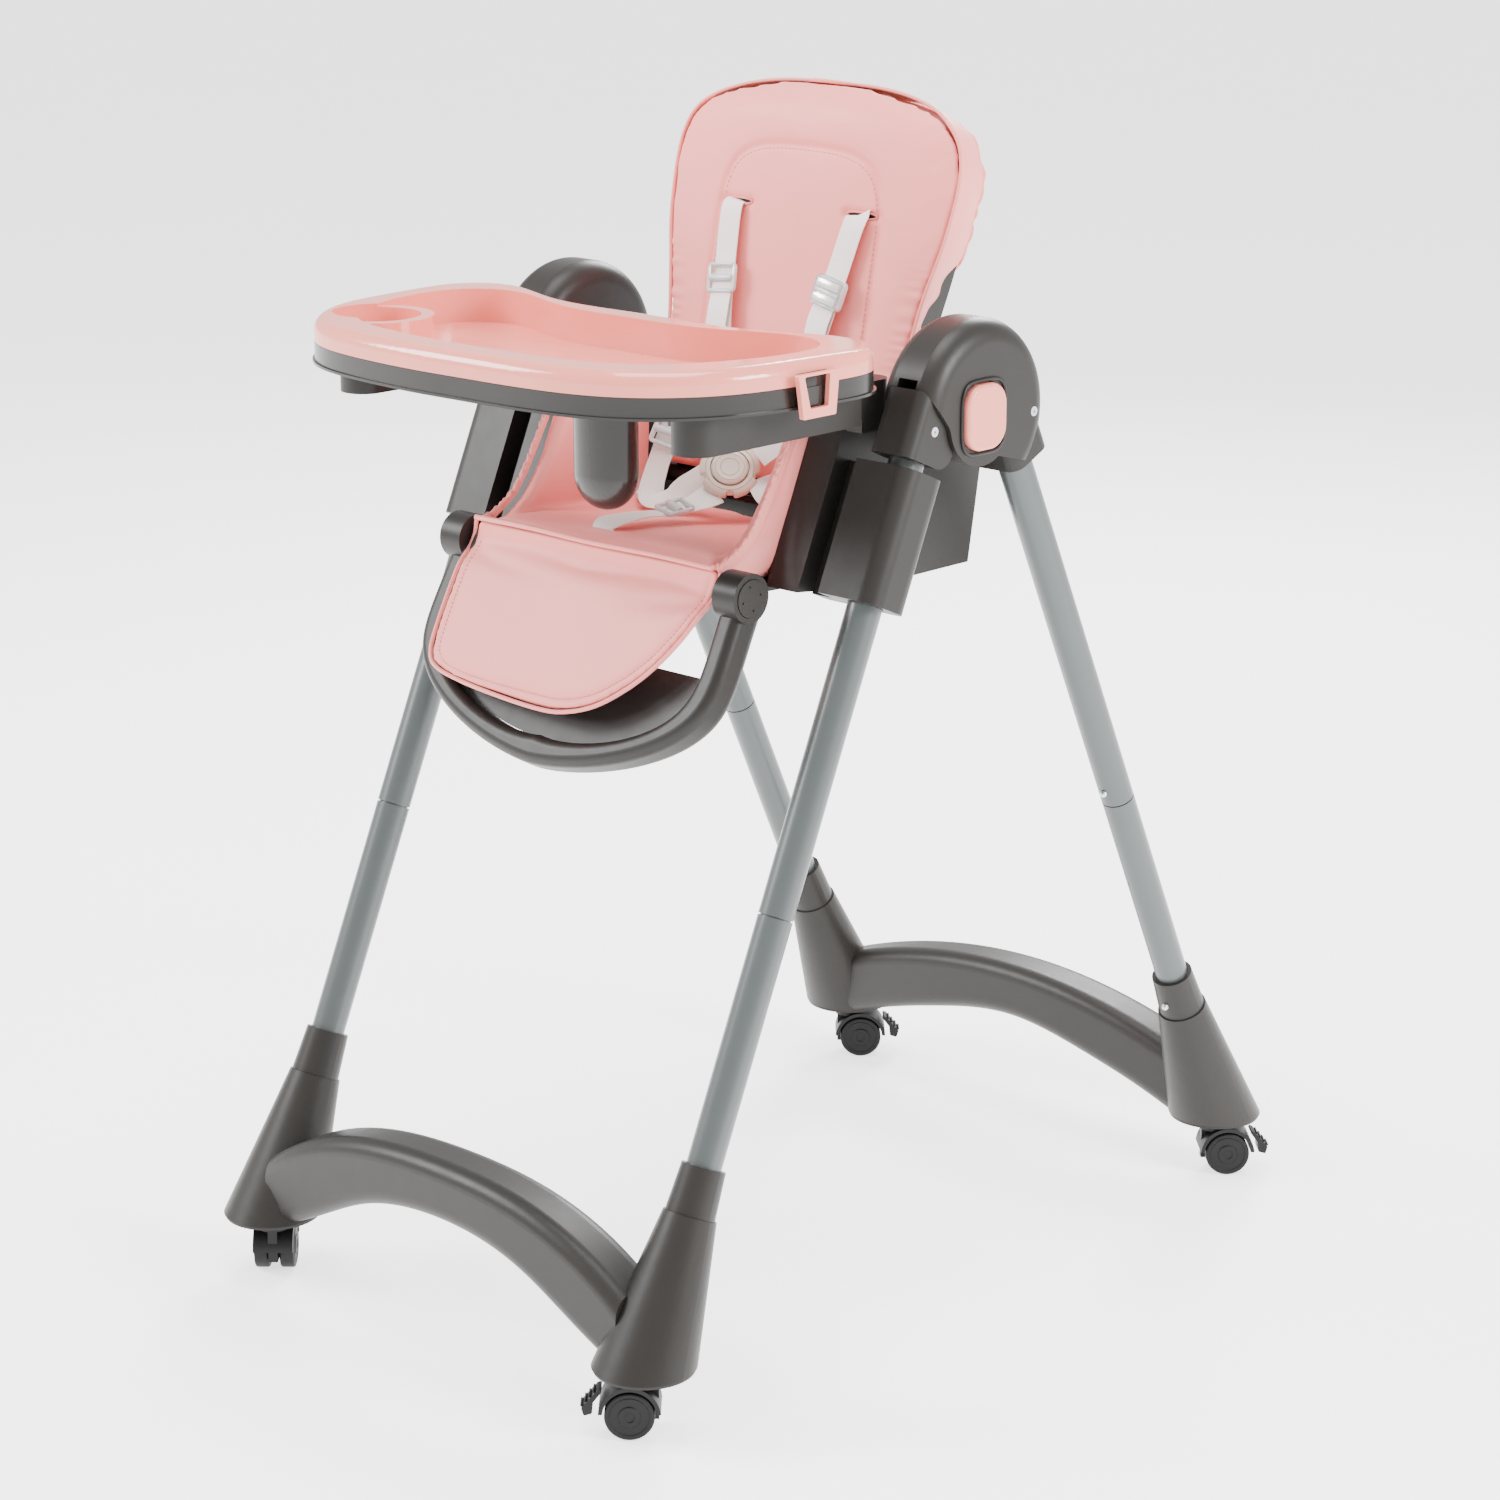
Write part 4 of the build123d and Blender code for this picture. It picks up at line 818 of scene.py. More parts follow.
def make_hood_panel(line):
    """Rear panel of the pocket, over the upper part of the back shell."""
    rear = BACK_REAR + 0.0005 + 0.024 + 0.0030
    outline = []
    for x, z in line:
        if z > 0.236:
            outline.append((x * 0.94, 0.22 + (z - 0.22) * 0.965))
    first = outline[0]
    for t in np.linspace(0, 1, 24)[1:-1]:
        x = outline[-1][0] + (first[0] - outline[-1][0]) * t
        outline.append((x, first[1] - 0.020 * math.sin(math.pi * t)))

    def surface(offset):
        def place(x, z):
            puff = 0.003 * math.cos(min(abs(x) / 0.16, 1) * math.pi / 2)
            return back_point(x, rear + offset + (puff if offset > 0 else 0), z)
        return place

    vertices, faces = ring_pad(outline, (0.0, 0.29), surface(0.0022), surface(0.0), rings=12)
    obj = mesh_object("hood_panel", vertices, faces)
    apply_modifier(obj, "SUBSURF", levels=1, render_levels=1)
    smooth(obj, 60)
    name_piece(obj, "cover_hood_panel", "backrest", MATERIALS["cushion_pink"])


def make_strap_slots(on_face):
    """Welted openings for the shoulder straps, each with a dark box laid over the slit as painted shade
    inside the opening.
    """
    for name, side in SIDES:
        ring = []
        count = 40
        for i in range(count):
            turn = 2 * math.pi * i / count
            x = side * SLOT_X + 0.0165 * math.copysign(abs(math.cos(turn)) ** 0.6, math.cos(turn))
            z = SLOT_HEIGHT + 0.0030 * math.copysign(abs(math.sin(turn)) ** 0.8, math.sin(turn))
            place, normal = on_face(x, z)
            ring.append(place + normal * 0.0006)
        piping(f"strap_slot_welt_{name}", ring, 0.0010, "backrest", closed=True)
        # A near-black box over each slit stands in for the shade inside the opening: painted shade, not a
        # part of the chair.
        vertices = []
        for x, z in ((-0.015, -0.0018), (0.015, -0.0018), (0.015, 0.0018), (-0.015, 0.0018)):
            place, normal = on_face(side * SLOT_X + x, SLOT_HEIGHT + z)
            vertices.append(place + normal * 0.0004)
        back = [v + Vector((0, 0.002, 0)) for v in vertices]
        faces = [(0, 1, 2, 3), (7, 6, 5, 4), (0, 4, 5, 1), (1, 5, 6, 2), (2, 6, 7, 3), (3, 7, 4, 0)]
        obj = mesh_object("slot", vertices + back, faces)
        name_piece(obj, f"strap_slot_{name}", "backrest", MATERIALS["slot_dark"])


# ------------------------------------------------------------------ seat pad and calf flap
def copy_node(node):
    """A closed, merged copy of a CAD node's mesh."""
    source = frame["nodes"][node]
    obj = bpy.data.objects.new(node, source.data.copy())
    bpy.context.collection.objects.link(obj)
    face_outwards(obj)
    return obj


WING_EDGE = [(-0.2035, 0.6795), (-0.186, 0.6855), (-0.166, 0.6985), (-0.1515, 0.716), (-0.1405, 0.734),
             (-0.131, 0.750), (-0.1205, 0.768), (-0.1085, 0.789)]


def make_seat_pad():
    """Seat pad with its raised side wings."""
    sizes = bpy.context.scene.chair_upholstery
    pad = copy_node("seat_cushion")
    apply_modifier(pad, "DISPLACE", strength=-sizes.loft * 0.3, mid_level=0.0)
    remesh(pad, sizes.voxel)
    relax(pad, 0.5, 14)
    inflate(pad, sizes.loft * 0.8, pressure=3.0)
    refine(pad)
    points = points_of(pad)
    inner = smoothstep(0.0, 0.02, 0.143 - np.abs(points[:, 0]))
    base = (0.674 < points[:, 2]) & (points[:, 2] < 0.70)
    dip = np.where(base, -0.0012 * np.sin(points[:, 1] * 70) * inner * np.cos(points[:, 0] * 18), 0)
    points[:, 2] += dip
    set_points(pad, points)
    smooth(pad, 80)
    name_piece(pad, "seat_pad", "seat", MATERIALS["cushion_pink"])
    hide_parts("seat_cushion")
    for name, side in SIDES:
        edge = [(side * (0.1395 + 0.004 * (i / 7)), y, z + 0.0015) for i, (y, z) in enumerate(WING_EDGE)]
        path = curve_through(edge, 90)
        for i, point in enumerate(path):
            point[0] += side * 0.0008 * math.sin(i * 1.1 + 1.5 * math.sin(i * 0.3))
            point[2] += 0.0007 * math.sin(i * 0.9)
        piping(f"wing_piping_{name}", path, sizes.piping, "seat")
        make_wing_hem(name, side)
    return pad


def make_wing_hem(name, side):
    """Gathered hem of the cover outside each wing's piping."""
    path = curve_through([(side * 0.1405, y, z) for y, z in WING_EDGE], 110)
    vertices = []
    rows = 6
    for i, point in enumerate(path):
        before = path[max(i - 1, 0)]
        after = path[min(i + 1, len(path) - 1)]
        along = Vector(after - before).normalized()
        outward = Vector((0, -along.z, along.y))
        if outward.y > 0:
            outward = -outward
        for k in range(rows + 1):
            share = k / rows
            ruffle = math.sin(i * 1.15 + 1.7 * math.sin(i * 0.31)) * 0.0011 * math.sin(math.pi * share)
            spread = Vector((side * (0.0005 + 0.0030 * share), 0, 0))
            bulge = outward * (0.0040 * math.sin(math.pi * min(share * 0.9 + 0.1, 1)) + ruffle)
            drop = -outward * 0.010 * max(share - 0.45, 0)
            vertices.append(Vector(point) + spread + bulge + drop - outward * 0.001)
    obj = cloth_strip("hem", vertices, rows + 1, 0.0014)
    name_piece(obj, f"wing_hem_{name}", "seat", MATERIALS["piping_pink"])


CALF_OUTLINE = [(-0.147, 0.012), (-0.150, -0.040), (-0.1495, -0.085), (-0.146, -0.108), (-0.133, -0.1205),
                (-0.100, -0.127), (-0.050, -0.1315), (0.0, -0.1335), (0.030, -0.131), (0.062, -0.120),
                (0.090, -0.100), (0.112, -0.077), (0.131, -0.048), (0.144, -0.016), (0.148, 0.012)]
CALF_FACE = -0.0155
CALF_DEPTH = 0.0085


def calf_outline(shrink=0.0, count=120, top=0.012):
    """Closed outline of the calf flap, as (across, height) from the footrest's pivot."""
    line = curve_through([(x, 0, z) for x, z in CALF_OUTLINE], count)[:, [0, 2]]
    centre = np.array([0.0, -0.055])
    if shrink:
        away = line - centre
        length = np.linalg.norm(away, axis=1, keepdims=True)
        line = line - away / length * shrink
    line = [(x, min(z, top)) for x, z in line]
    across = np.linspace(line[-1][0], line[0][0], 42)[1:-1]
    return line, [(x, top) for x in across]


def calf_place(x, depth, height):
    """Calf flap's surface: flat below, rolling back over the seat's front edge above."""
    roll = float(smoothstep(-0.030, 0.014, height))
    point = foot_point(x, depth + 0.004 * roll, height)
    target = Vector((x, -0.2085 + (depth - CALF_FACE), 0.6800 + (height - 0.012)))
    return point.lerp(target, roll * 0.85)


def make_calf_flap():
    """Padded flap with a stitched border and a double piped lower edge."""
    sizes = bpy.context.scene.chair_upholstery
    inset = sizes.loft * 0.45
    curve, top = calf_outline(inset)
    outline = [tuple(p) for p in curve] + top
    vertices, faces = ring_pad(outline, (0.0, -0.055),
                               lambda x, z: calf_place(x, CALF_FACE + inset * 0.5, z),
                               lambda x, z: calf_place(x, CALF_FACE + CALF_DEPTH - inset * 0.3, z))
    pad = mesh_object("calf_flap", vertices, faces)
    remesh(pad, 0.0042)
    relax(pad, 0.5, 4)
    border = calf_outline(0.0105)[0]
    across, deep, height = foot_local(points_of(pad))
    near = np.full(len(across), 1.0)
    for x, z in border:
        near = np.minimum(near, np.hypot(across - x, height - z))
    turned = np.abs(foot_local(points_of(pad) + normals_of(pad))[1] - deep) < 0.5
    inflate(pad, 0.0035, pinned=(near < 0.003) | turned, pressure=3.0)
    refine(pad)
    press_seams(pad, foot_local, [border], 0.0013, 0.0015)
    smooth(pad, 80)
    name_piece(pad, "calf_flap", None, MATERIALS["cushion_pink"])
    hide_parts("calf_pad")
    across_fold(pad)
    tree = surface_tree(pad)
    towards = (foot_point(0, 1, 0) - foot_point(0, 0, 0)).normalized()
    spots = calf_outline(0.0108, count=int(0.62 / sizes.stitch))[0]
    row = [drop_on(tree, foot_point(x, CALF_FACE, z), towards) for x, z in spots if z < -0.002]
    across_fold(stitch_row("calf_stitches", [row], None))
    edge = [calf_place(x, CALF_FACE + CALF_DEPTH * 0.35, z) for x, z in calf_outline(-0.0004)[0]]
    across_fold(piping("calf_piping", edge, sizes.piping * 0.9, None))
    fold = [(x, -0.2095 - 0.001 * math.cos(x * 10), 0.6835 - 0.0006 * math.cos(x * 40))
            for x in np.linspace(-0.143, 0.143, 60)]
    piping("seat_fold_piping", fold, sizes.piping * 1.1, "seat")
    return pad


def across_fold(obj):
    """Bakes the place of a piece of the calf flap into its mesh."""
    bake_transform(obj)


# ------------------------------------------------------------------ harness
def ribbon(name, path, ups, width, thickness, body):
    """Flat strap along a path; `ups` gives the direction its face looks at each point."""
    vertices = []
    faces = []
    uv_rows = []
    travelled = 0.0
    columns = 4
    count = len(path)
    for i in range(count):
        place = Vector(path[i])
        along = Vector(path[min(i + 1, count - 1)]) - Vector(path[max(i - 1, 0)])
        along.normalize()
        face = Vector(ups[i]).normalized()
        across = along.cross(face).normalized()
        face = across.cross(along).normalized()
        if i:
            travelled += (place - Vector(path[i - 1])).length
        uv_rows.append(travelled)
        for level in (-0.5, 0.5):
            for k in range(columns + 1):
                share = k / columns - 0.5
                crown = -0.0004 * (2 * share) ** 2
                edge = 0.6 if abs(share) > 0.49 else 1.0
                vertices.append(place + across * width * share + face * (thickness * level * edge + crown))
    ring = 2 * (columns + 1)
    for i in range(count - 1):
        a = i * ring
        b = a + ring
        for k in range(columns):
            faces.append((a + k, a + k + 1, b + k + 1, b + k))
            m = columns + 1
            faces.append((a + m + k, b + m + k, b + m + k + 1, a + m + k + 1))
        faces.append((a, b, b + columns + 1, a + columns + 1))
        faces.append((a + columns, a + 2 * columns + 1, b + 2 * columns + 1, b + columns))
    for a in (0, (count - 1) * ring):
        for k in range(columns):
            faces.append((a + k, a + columns + 1 + k, a + columns + 2 + k, a + k + 1))
    mesh = bpy.data.meshes.new(name)
    mesh.from_pydata([tuple(v) for v in vertices], [], faces)
    layer = mesh.uv_layers.new(name="weave")
    for loop in mesh.loops:
        row, column = divmod(loop.vertex_index, ring)
        layer.data[loop.index].uv = ((column % (columns + 1)) / columns, uv_rows[row])
    obj = bpy.data.objects.new(name, mesh)
    bpy.context.collection.objects.link(obj)
    make_active(obj)
    bpy.ops.object.mode_set(mode="EDIT")
    bpy.ops.mesh.select_all(action="SELECT")
    bpy.ops.mesh.normals_make_consistent(inside=False)
    bpy.ops.object.mode_set(mode="OBJECT")
    smooth(obj, 50)
    return name_piece(obj, name, body, MATERIALS["webbing"])


BUCKLE_PLACE = Vector((0.015, -0.054, 0.722))
BUCKLE_FACE = Vector((0.55, -0.58, 0.60)).normalized()


def strap_between(name, places, faces, body, count=60):
    """Strap through a few places, its face direction given at each."""
    width = bpy.context.scene.chair_harness.width
    thickness = bpy.context.scene.chair_harness.thickness
    path = curve_through(places, count)
    given = np.array([tuple(f) for f in faces], float)
    spread = np.linspace(0, len(faces) - 1, count)
    ups = np.stack([np.interp(spread, range(len(faces)), given[:, k]) for k in range(3)], axis=1)
    return ribbon(name, path, ups, width, thickness, body), path, ups


def adjuster(name, place, along, face, body, width=0.033, height=0.027):
    """Three-bar strap adjuster."""
    along = Vector(along).normalized()
    face = Vector(face).normalized()
    across = along.cross(face).normalized()
    face = across.cross(along).normalized()
    turn = Matrix((across, along, face)).transposed().to_4x4()
    spot = Matrix.Translation(Vector(place)) @ turn
    deselect()
    bpy.ops.mesh.primitive_cube_add(size=1, location=(0, 0, 0))
    obj = bpy.context.object
    obj.scale = (width, height, 0.0032)
    bpy.ops.object.transform_apply(location=False, rotation=False, scale=True)
    bpy.ops.object.mode_set(mode="EDIT")
    bpy.ops.mesh.select_all(action="DESELECT")
    bpy.ops.object.mode_set(mode="OBJECT")
    for edge in obj.data.edges:
        a = obj.data.vertices[edge.vertices[0]].co
        b = obj.data.vertices[edge.vertices[1]].co
        edge.select = abs(a.z - b.z) > 0.001
    bpy.ops.object.mode_set(mode="EDIT")
    bpy.ops.mesh.select_mode(type="EDGE")
    bpy.ops.mesh.bevel(offset=0.005, segments=5, affect="EDGES")
    bpy.ops.object.mode_set(mode="OBJECT")
    for offset in (-height * 0.24, height * 0.24):
        bpy.ops.mesh.primitive_cube_add(size=1, location=(0, offset, 0))
        cutter = bpy.context.object
        cutter.scale = (width - 0.0075, height * 0.24, 0.01)
        bpy.ops.object.transform_apply(location=True, rotation=False, scale=True)
        make_active(obj)
        cut = obj.modifiers.new("Cut", "BOOLEAN")
        cut.object = cutter
        cut.operation = "DIFFERENCE"
        bpy.ops.object.modifier_apply(modifier=cut.name)
        bpy.data.objects.remove(cutter)
    for offset, depth in ((0.0, 0.0030), (-height * 0.44, 0.0016), (height * 0.44, 0.0016)):
        bpy.ops.mesh.primitive_cylinder_add(vertices=16, radius=depth, depth=width - 0.006,
                                            location=(0, offset, 0.0012), rotation=(0, math.pi / 2, 0))
        bar = bpy.context.object
        bpy.ops.object.transform_apply(location=True, rotation=True, scale=True)
        bar.select_set(True)
        obj.select_set(True)
        bpy.context.view_layer.objects.active = obj
        bpy.ops.object.join()
    apply_modifier(obj, "BEVEL", width=0.0005, segments=2, limit_method="ANGLE")
    obj.data.transform(spot)
    smooth(obj, 40)
    return name_piece(obj, name, body, MATERIALS["adjuster_clear"])


def make_shoulder_straps():
    """Two shoulder straps with their adjusters, from the slots down behind the tray."""
    face = back_point(0, -1, 0) - back_point(0, 0, 0)
    for name, side in SIDES:
        low_x = 0.036 if side > 0 else -0.050
        slot = back_point(side * SLOT_X, BACK_FACE + 0.006, SLOT_HEIGHT)
        over = back_point(side * SLOT_X, BACK_FACE - 0.0030, SLOT_HEIGHT - 0.006)
        middle = back_point(side * 0.064 if side > 0 else -0.070, BACK_FACE - 0.0060, SLOT_HEIGHT - 0.050)
        lower = back_point(side * 0.053 if side > 0 else -0.064, BACK_FACE - 0.0090, 0.150)
        end = back_point(low_x, BACK_FACE - 0.0125, 0.072)
        places = [slot, over, middle, lower, end]
        strap, path, _ = strap_between(f"shoulder_strap_{name}", places, [face] * 5, "backrest")
        spot = 24
        along = Vector(path[spot + 1] - path[spot - 1])
        adjuster(f"shoulder_adjuster_{name}", Vector(path[spot]) + face * 0.0022, along, face,
                               "backrest")
        loose = [Vector(path[spot - 3]) - face * 0.001, Vector(path[spot + 8]) + face * 0.0042,
                 Vector(path[spot + 16]) + face * 0.0040 + Vector((0.004 * side, 0, 0))]
        strap_between(f"shoulder_strap_end_{name}", loose, [face] * 3, "backrest", 24)
    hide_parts("shoulder_straps")
    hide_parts("strap_adjusters")


def make_lap_straps():
    """Waist straps, crotch strap and their adjusters."""
    up = Vector((0, 0, 1))
    toward = Vector((0.2, -0.85, 0.45))
    centre = BUCKLE_PLACE + BUCKLE_FACE * 0.002
    right = [Vector((-0.112, -0.020, 0.690)), Vector((-0.085, -0.052, 0.6885)),
             Vector((-0.050, -0.060, 0.692)),
             centre + Vector((-0.022, 0.004, -0.010))]
    lap, path, ups = strap_between("lap_strap_right", right, [toward, up, toward, BUCKLE_FACE], "seat")
    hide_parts("lap_straps")
    left = [Vector((0.122, -0.030, 0.700)), Vector((0.092, -0.048, 0.700)), Vector((0.062, -0.052, 0.707)),
            centre + Vector((0.022, 0.014, -0.006))]
    strap_between("lap_strap_left", left, [toward, toward, toward, BUCKLE_FACE], "seat")
    crotch = [Vector((-0.026, -0.170, 0.6790)), Vector((-0.026, -0.166, 0.6880)),
              Vector((-0.016, -0.140, 0.6925)),
              Vector((-0.002, -0.110, 0.6935)), Vector((0.008, -0.086, 0.7000)),
              centre + BUCKLE_FACE * 0.001 + Vector((0.0, -0.016, -0.016))]
    faces = [Vector((0, -1, 0.3)), Vector((0, -0.5, 1)), up, up, Vector((0.2, -0.4, 1)), BUCKLE_FACE]
    _, path, ups = strap_between("crotch_strap", crotch, faces, "seat")
    spot = 38
    adjuster("crotch_adjuster", Vector(path[spot]) + Vector(ups[spot]).normalized() * 0.0022,
             path[spot + 1] - path[spot - 1], ups[spot], "seat")
    hanging = [Vector((-0.062, -0.020, 0.790)), Vector((-0.066, -0.046, 0.745)),
               Vector((-0.070, -0.060, 0.712)),
               Vector((-0.064, -0.072, 0.6925)), Vector((-0.044, -0.074, 0.6935)),
               Vector((-0.024, -0.066, 0.706)),
               centre + Vector((-0.020, -0.006, -0.004))]
    facing = [toward, toward, toward, up + toward, up + toward, toward, BUCKLE_FACE]
    _, path, ups = strap_between("shoulder_strap_loop_right", hanging, facing, "seat")
    spot = 17
    adjuster("loop_adjuster_right", Vector(path[spot]) + Vector(ups[spot]).normalized() * 0.0022,
             path[spot + 1] - path[spot - 1], ups[spot], "seat")
    upper = [Vector((0.060, -0.010, 0.785)), Vector((0.054, -0.032, 0.755)),
             centre + Vector((0.026, 0.006, 0.016))]
    strap_between("shoulder_strap_loop_left", upper, [toward, toward, BUCKLE_FACE], "seat")


def turned(name, profile, radius, notched=False):
    """Round piece from a profile of (share of the radius, height), with strap notches if wanted."""
    count = 120
    notches = [math.radians(a) for a in (-90, -18, 54, 126, 198)] if notched else []
    vertices = []
    for share, height in profile:
        for k in range(count):
            turn = 2 * math.pi * k / count
            bite = 0.0
            for notch in notches:
                gap = abs((turn - notch + math.pi) % (2 * math.pi) - math.pi)
                bite = max(bite, 1 - float(smoothstep(0.10, 0.17, gap)))
            r = radius * share
            if share > 0.9:
                r -= 0.0030 * bite
            vertices.append((r * math.cos(turn), r * math.sin(turn), height))
    faces = []
    for ring in range(len(profile) - 1):
        for k in range(count):
            a = ring * count + k
            b = ring * count + (k + 1) % count
            faces.append((a, b, b + count, a + count))
    return mesh_object(name, vertices, faces)


def make_buckle():
    """Round five-point buckle with concentric rings, and its release button."""
    radius = bpy.context.scene.chair_harness.buckle
    profile = [(0.00, 0.0000), (0.92, 0.0000), (1.0, 0.0014), (1.0, 0.0062), (0.94, 0.0078), (0.82, 0.0082),
               (0.80, 0.0074), (0.78, 0.0082), (0.66, 0.0084), (0.645, 0.0045), (0.0, 0.0045)]
    obj = turned("buckle", profile, radius, notched=True)
    across = Vector((0.72, 0.69, 0)).normalized()
    upward = BUCKLE_FACE.cross(across).normalized()
    across = upward.cross(BUCKLE_FACE).normalized()
    turn = Matrix((across, upward, BUCKLE_FACE)).transposed().to_4x4()
    obj.data.transform(Matrix.Translation(BUCKLE_PLACE) @ turn)
    smooth(obj, 45)
    name_piece(obj, "five_point_buckle", "seat", MATERIALS["buckle_cream"])
    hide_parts("harness_buckle")
    profile = [(0.0, 0.0066), (0.98, 0.0066), (1.0, 0.0072), (1.0, 0.0094), (0.95, 0.0102), (0.80, 0.0105),
               (0.775, 0.0099), (0.75, 0.0105), (0.52, 0.0104), (0.50, 0.0097), (0.48, 0.0103), (0.0, 0.0100)]
    obj = turned("release", profile, radius * 0.61)
    obj.data.transform(Matrix.Translation(BUCKLE_PLACE) @ turn)
    smooth(obj, 45)
    name_piece(obj, "buckle_release", "buckle_button", MATERIALS["buckle_cream"])
    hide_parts("buckle_button")


# ------------------------------------------------------------------ fittings
def make_button_rims():
    """Raised rim round each fold button."""
    for name, side in SIDES:
        low, high = [Vector(c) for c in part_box(f"fold_button_{name}")]
        centre = (low + high) / 2
        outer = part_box(f"hub_casing_{name}")
        face_x = outer[1][0] if side > 0 else outer[0][0]
        half_y = (high.y - low.y) / 2
        half_z = (high.z - low.z) / 2
        ring = []
        count = 96
        for i in range(count):
            turn = 2 * math.pi * i / count
            power = 0.50
            y = math.copysign(abs(math.cos(turn)) ** power, math.cos(turn)) * (half_y + 0.0030)
            z = math.copysign(abs(math.sin(turn)) ** power, math.sin(turn)) * (half_z + 0.0030)
            ring.append((y, z))
        deselect()
        bpy.ops.mesh.primitive_circle_add(vertices=count, radius=1.0, location=(0, 0, 0))
        obj = bpy.context.object
        for vertex, (y, z) in zip(obj.data.vertices, ring):
            vertex.co = (face_x - side * 0.002, centre.y + y, centre.z + z)
        bpy.ops.object.mode_set(mode="EDIT")
        bpy.ops.mesh.select_all(action="SELECT")
        bpy.ops.mesh.extrude_edges_move(TRANSFORM_OT_translate={"value": (side * 0.0040, 0, 0)})
        bpy.ops.object.mode_set(mode="OBJECT")
        apply_modifier(obj, "SOLIDIFY", thickness=0.0030, offset=0.0)
        apply_modifier(obj, "BEVEL", width=0.0011, segments=3, limit_method="ANGLE")
        face_outwards(obj)
        smooth(obj, 50)
        name_piece(obj, f"button_rim_{name}", "rear_frame", MATERIALS["rim_dark"])


def make_wheel_caps():
    """Stepped hub cap on the outer face of each caster wheel."""
    for name in CASTERS:
        joint = JOINTS[f"caster_roll_{name}"]
        centre = Vector(joint["pos_m"])
        axis = Vector(joint["axis"]).normalized()
        for index, sign in enumerate((1, -1)):
            deselect()
            bpy.ops.mesh.primitive_circle_add(vertices=48, radius=0.0165, fill_type="NGON",
                                              location=(0, 0, 0))
            obj = bpy.context.object
            bpy.ops.object.mode_set(mode="EDIT")
            bpy.ops.mesh.select_all(action="SELECT")
            bpy.ops.mesh.inset(thickness=0.0012, depth=-0.0008)
            bpy.ops.mesh.inset(thickness=0.0055, depth=0.0)
            bpy.ops.mesh.inset(thickness=0.0010, depth=0.0011)
            bpy.ops.mesh.inset(thickness=0.0040, depth=0.0)
            bpy.ops.mesh.inset(thickness=0.0008, depth=-0.0007)
            bpy.ops.object.mode_set(mode="OBJECT")
            apply_modifier(obj, "SOLIDIFY", thickness=0.0012, offset=-1.0)
            turn = (axis * sign).to_track_quat("Z", "Y").to_matrix().to_4x4()
            obj.data.transform(Matrix.Translation(centre + axis * sign * 0.0185) @ turn)
            face_outwards(obj)
            smooth(obj, 35)
            side = "a" if index == 0 else "b"
            name_piece(obj, f"wheel_cap_{name}_{side}", f"caster_wheels_{name}", MATERIALS["wheel_black"])


def make_lever_ribs():
    """Grip ribs on each caster's brake lever."""
    for name in CASTERS:
        joint = JOINTS[f"caster_brake_{name}_press"]
        pivot = Vector(joint["pos_m"])
        side = Vector(joint["axis"]).normalized()
        out = side.cross(Vector((0, 0, 1))).normalized()
        ribs = []
        for k in range(4):
            share = k / 3
            place = pivot + out * (0.0085 + 0.0105 * share) + Vector((0, 0, -0.0035 - 0.0120 * share))
            deselect()
            bpy.ops.mesh.primitive_cylinder_add(vertices=12, radius=0.0009, depth=0.0150, location=(0, 0, 0))
            rib = bpy.context.object
            apply_modifier(rib, "BEVEL", width=0.0004, segments=2, limit_method="ANGLE")
            turn = side.to_track_quat("Z", "Y").to_matrix().to_4x4()
            rib.data.transform(Matrix.Translation(place) @ turn)
            ribs.append(rib)
        deselect()
        for rib in ribs:
            rib.select_set(True)
        bpy.context.view_layer.objects.active = ribs[0]
        bpy.ops.object.join()
        smooth(ribs[0], 40)
        name_piece(ribs[0], f"brake_ribs_{name}", f"caster_brake_{name}", MATERIALS["caster_black"])


def make_band_plates():
    """Flush plates in the tray band behind the clips' windows."""
    for name, side in SIDES:
        low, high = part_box(f"tray_clip_{name}")
        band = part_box("tray_base")
        middle_y = (low[1] + high[1]) / 2
        x = side * 0.2522
        deselect()
        bpy.ops.mesh.primitive_plane_add(size=1, location=(0, 0, 0))
        obj = bpy.context.object
        corners = [(-0.016, band[0][2] + 0.0155), (0.016, band[0][2] + 0.0155), (0.016, low[2] + 0.036),
                   (-0.016, low[2] + 0.036)]
        for vertex, index in zip(obj.data.vertices, (0, 1, 3, 2)):
            y, z = corners[index]
            vertex.co = (x, middle_y + y, z)
        apply_modifier(obj, "SOLIDIFY", thickness=0.0014, offset=0.0)
        apply_modifier(obj, "BEVEL", width=0.0005, segments=2, limit_method="ANGLE")
        face_outwards(obj)
        smooth(obj, 40)
        name_piece(obj, f"clip_plate_{name}", "tray_top", MATERIALS["tray_dark"])


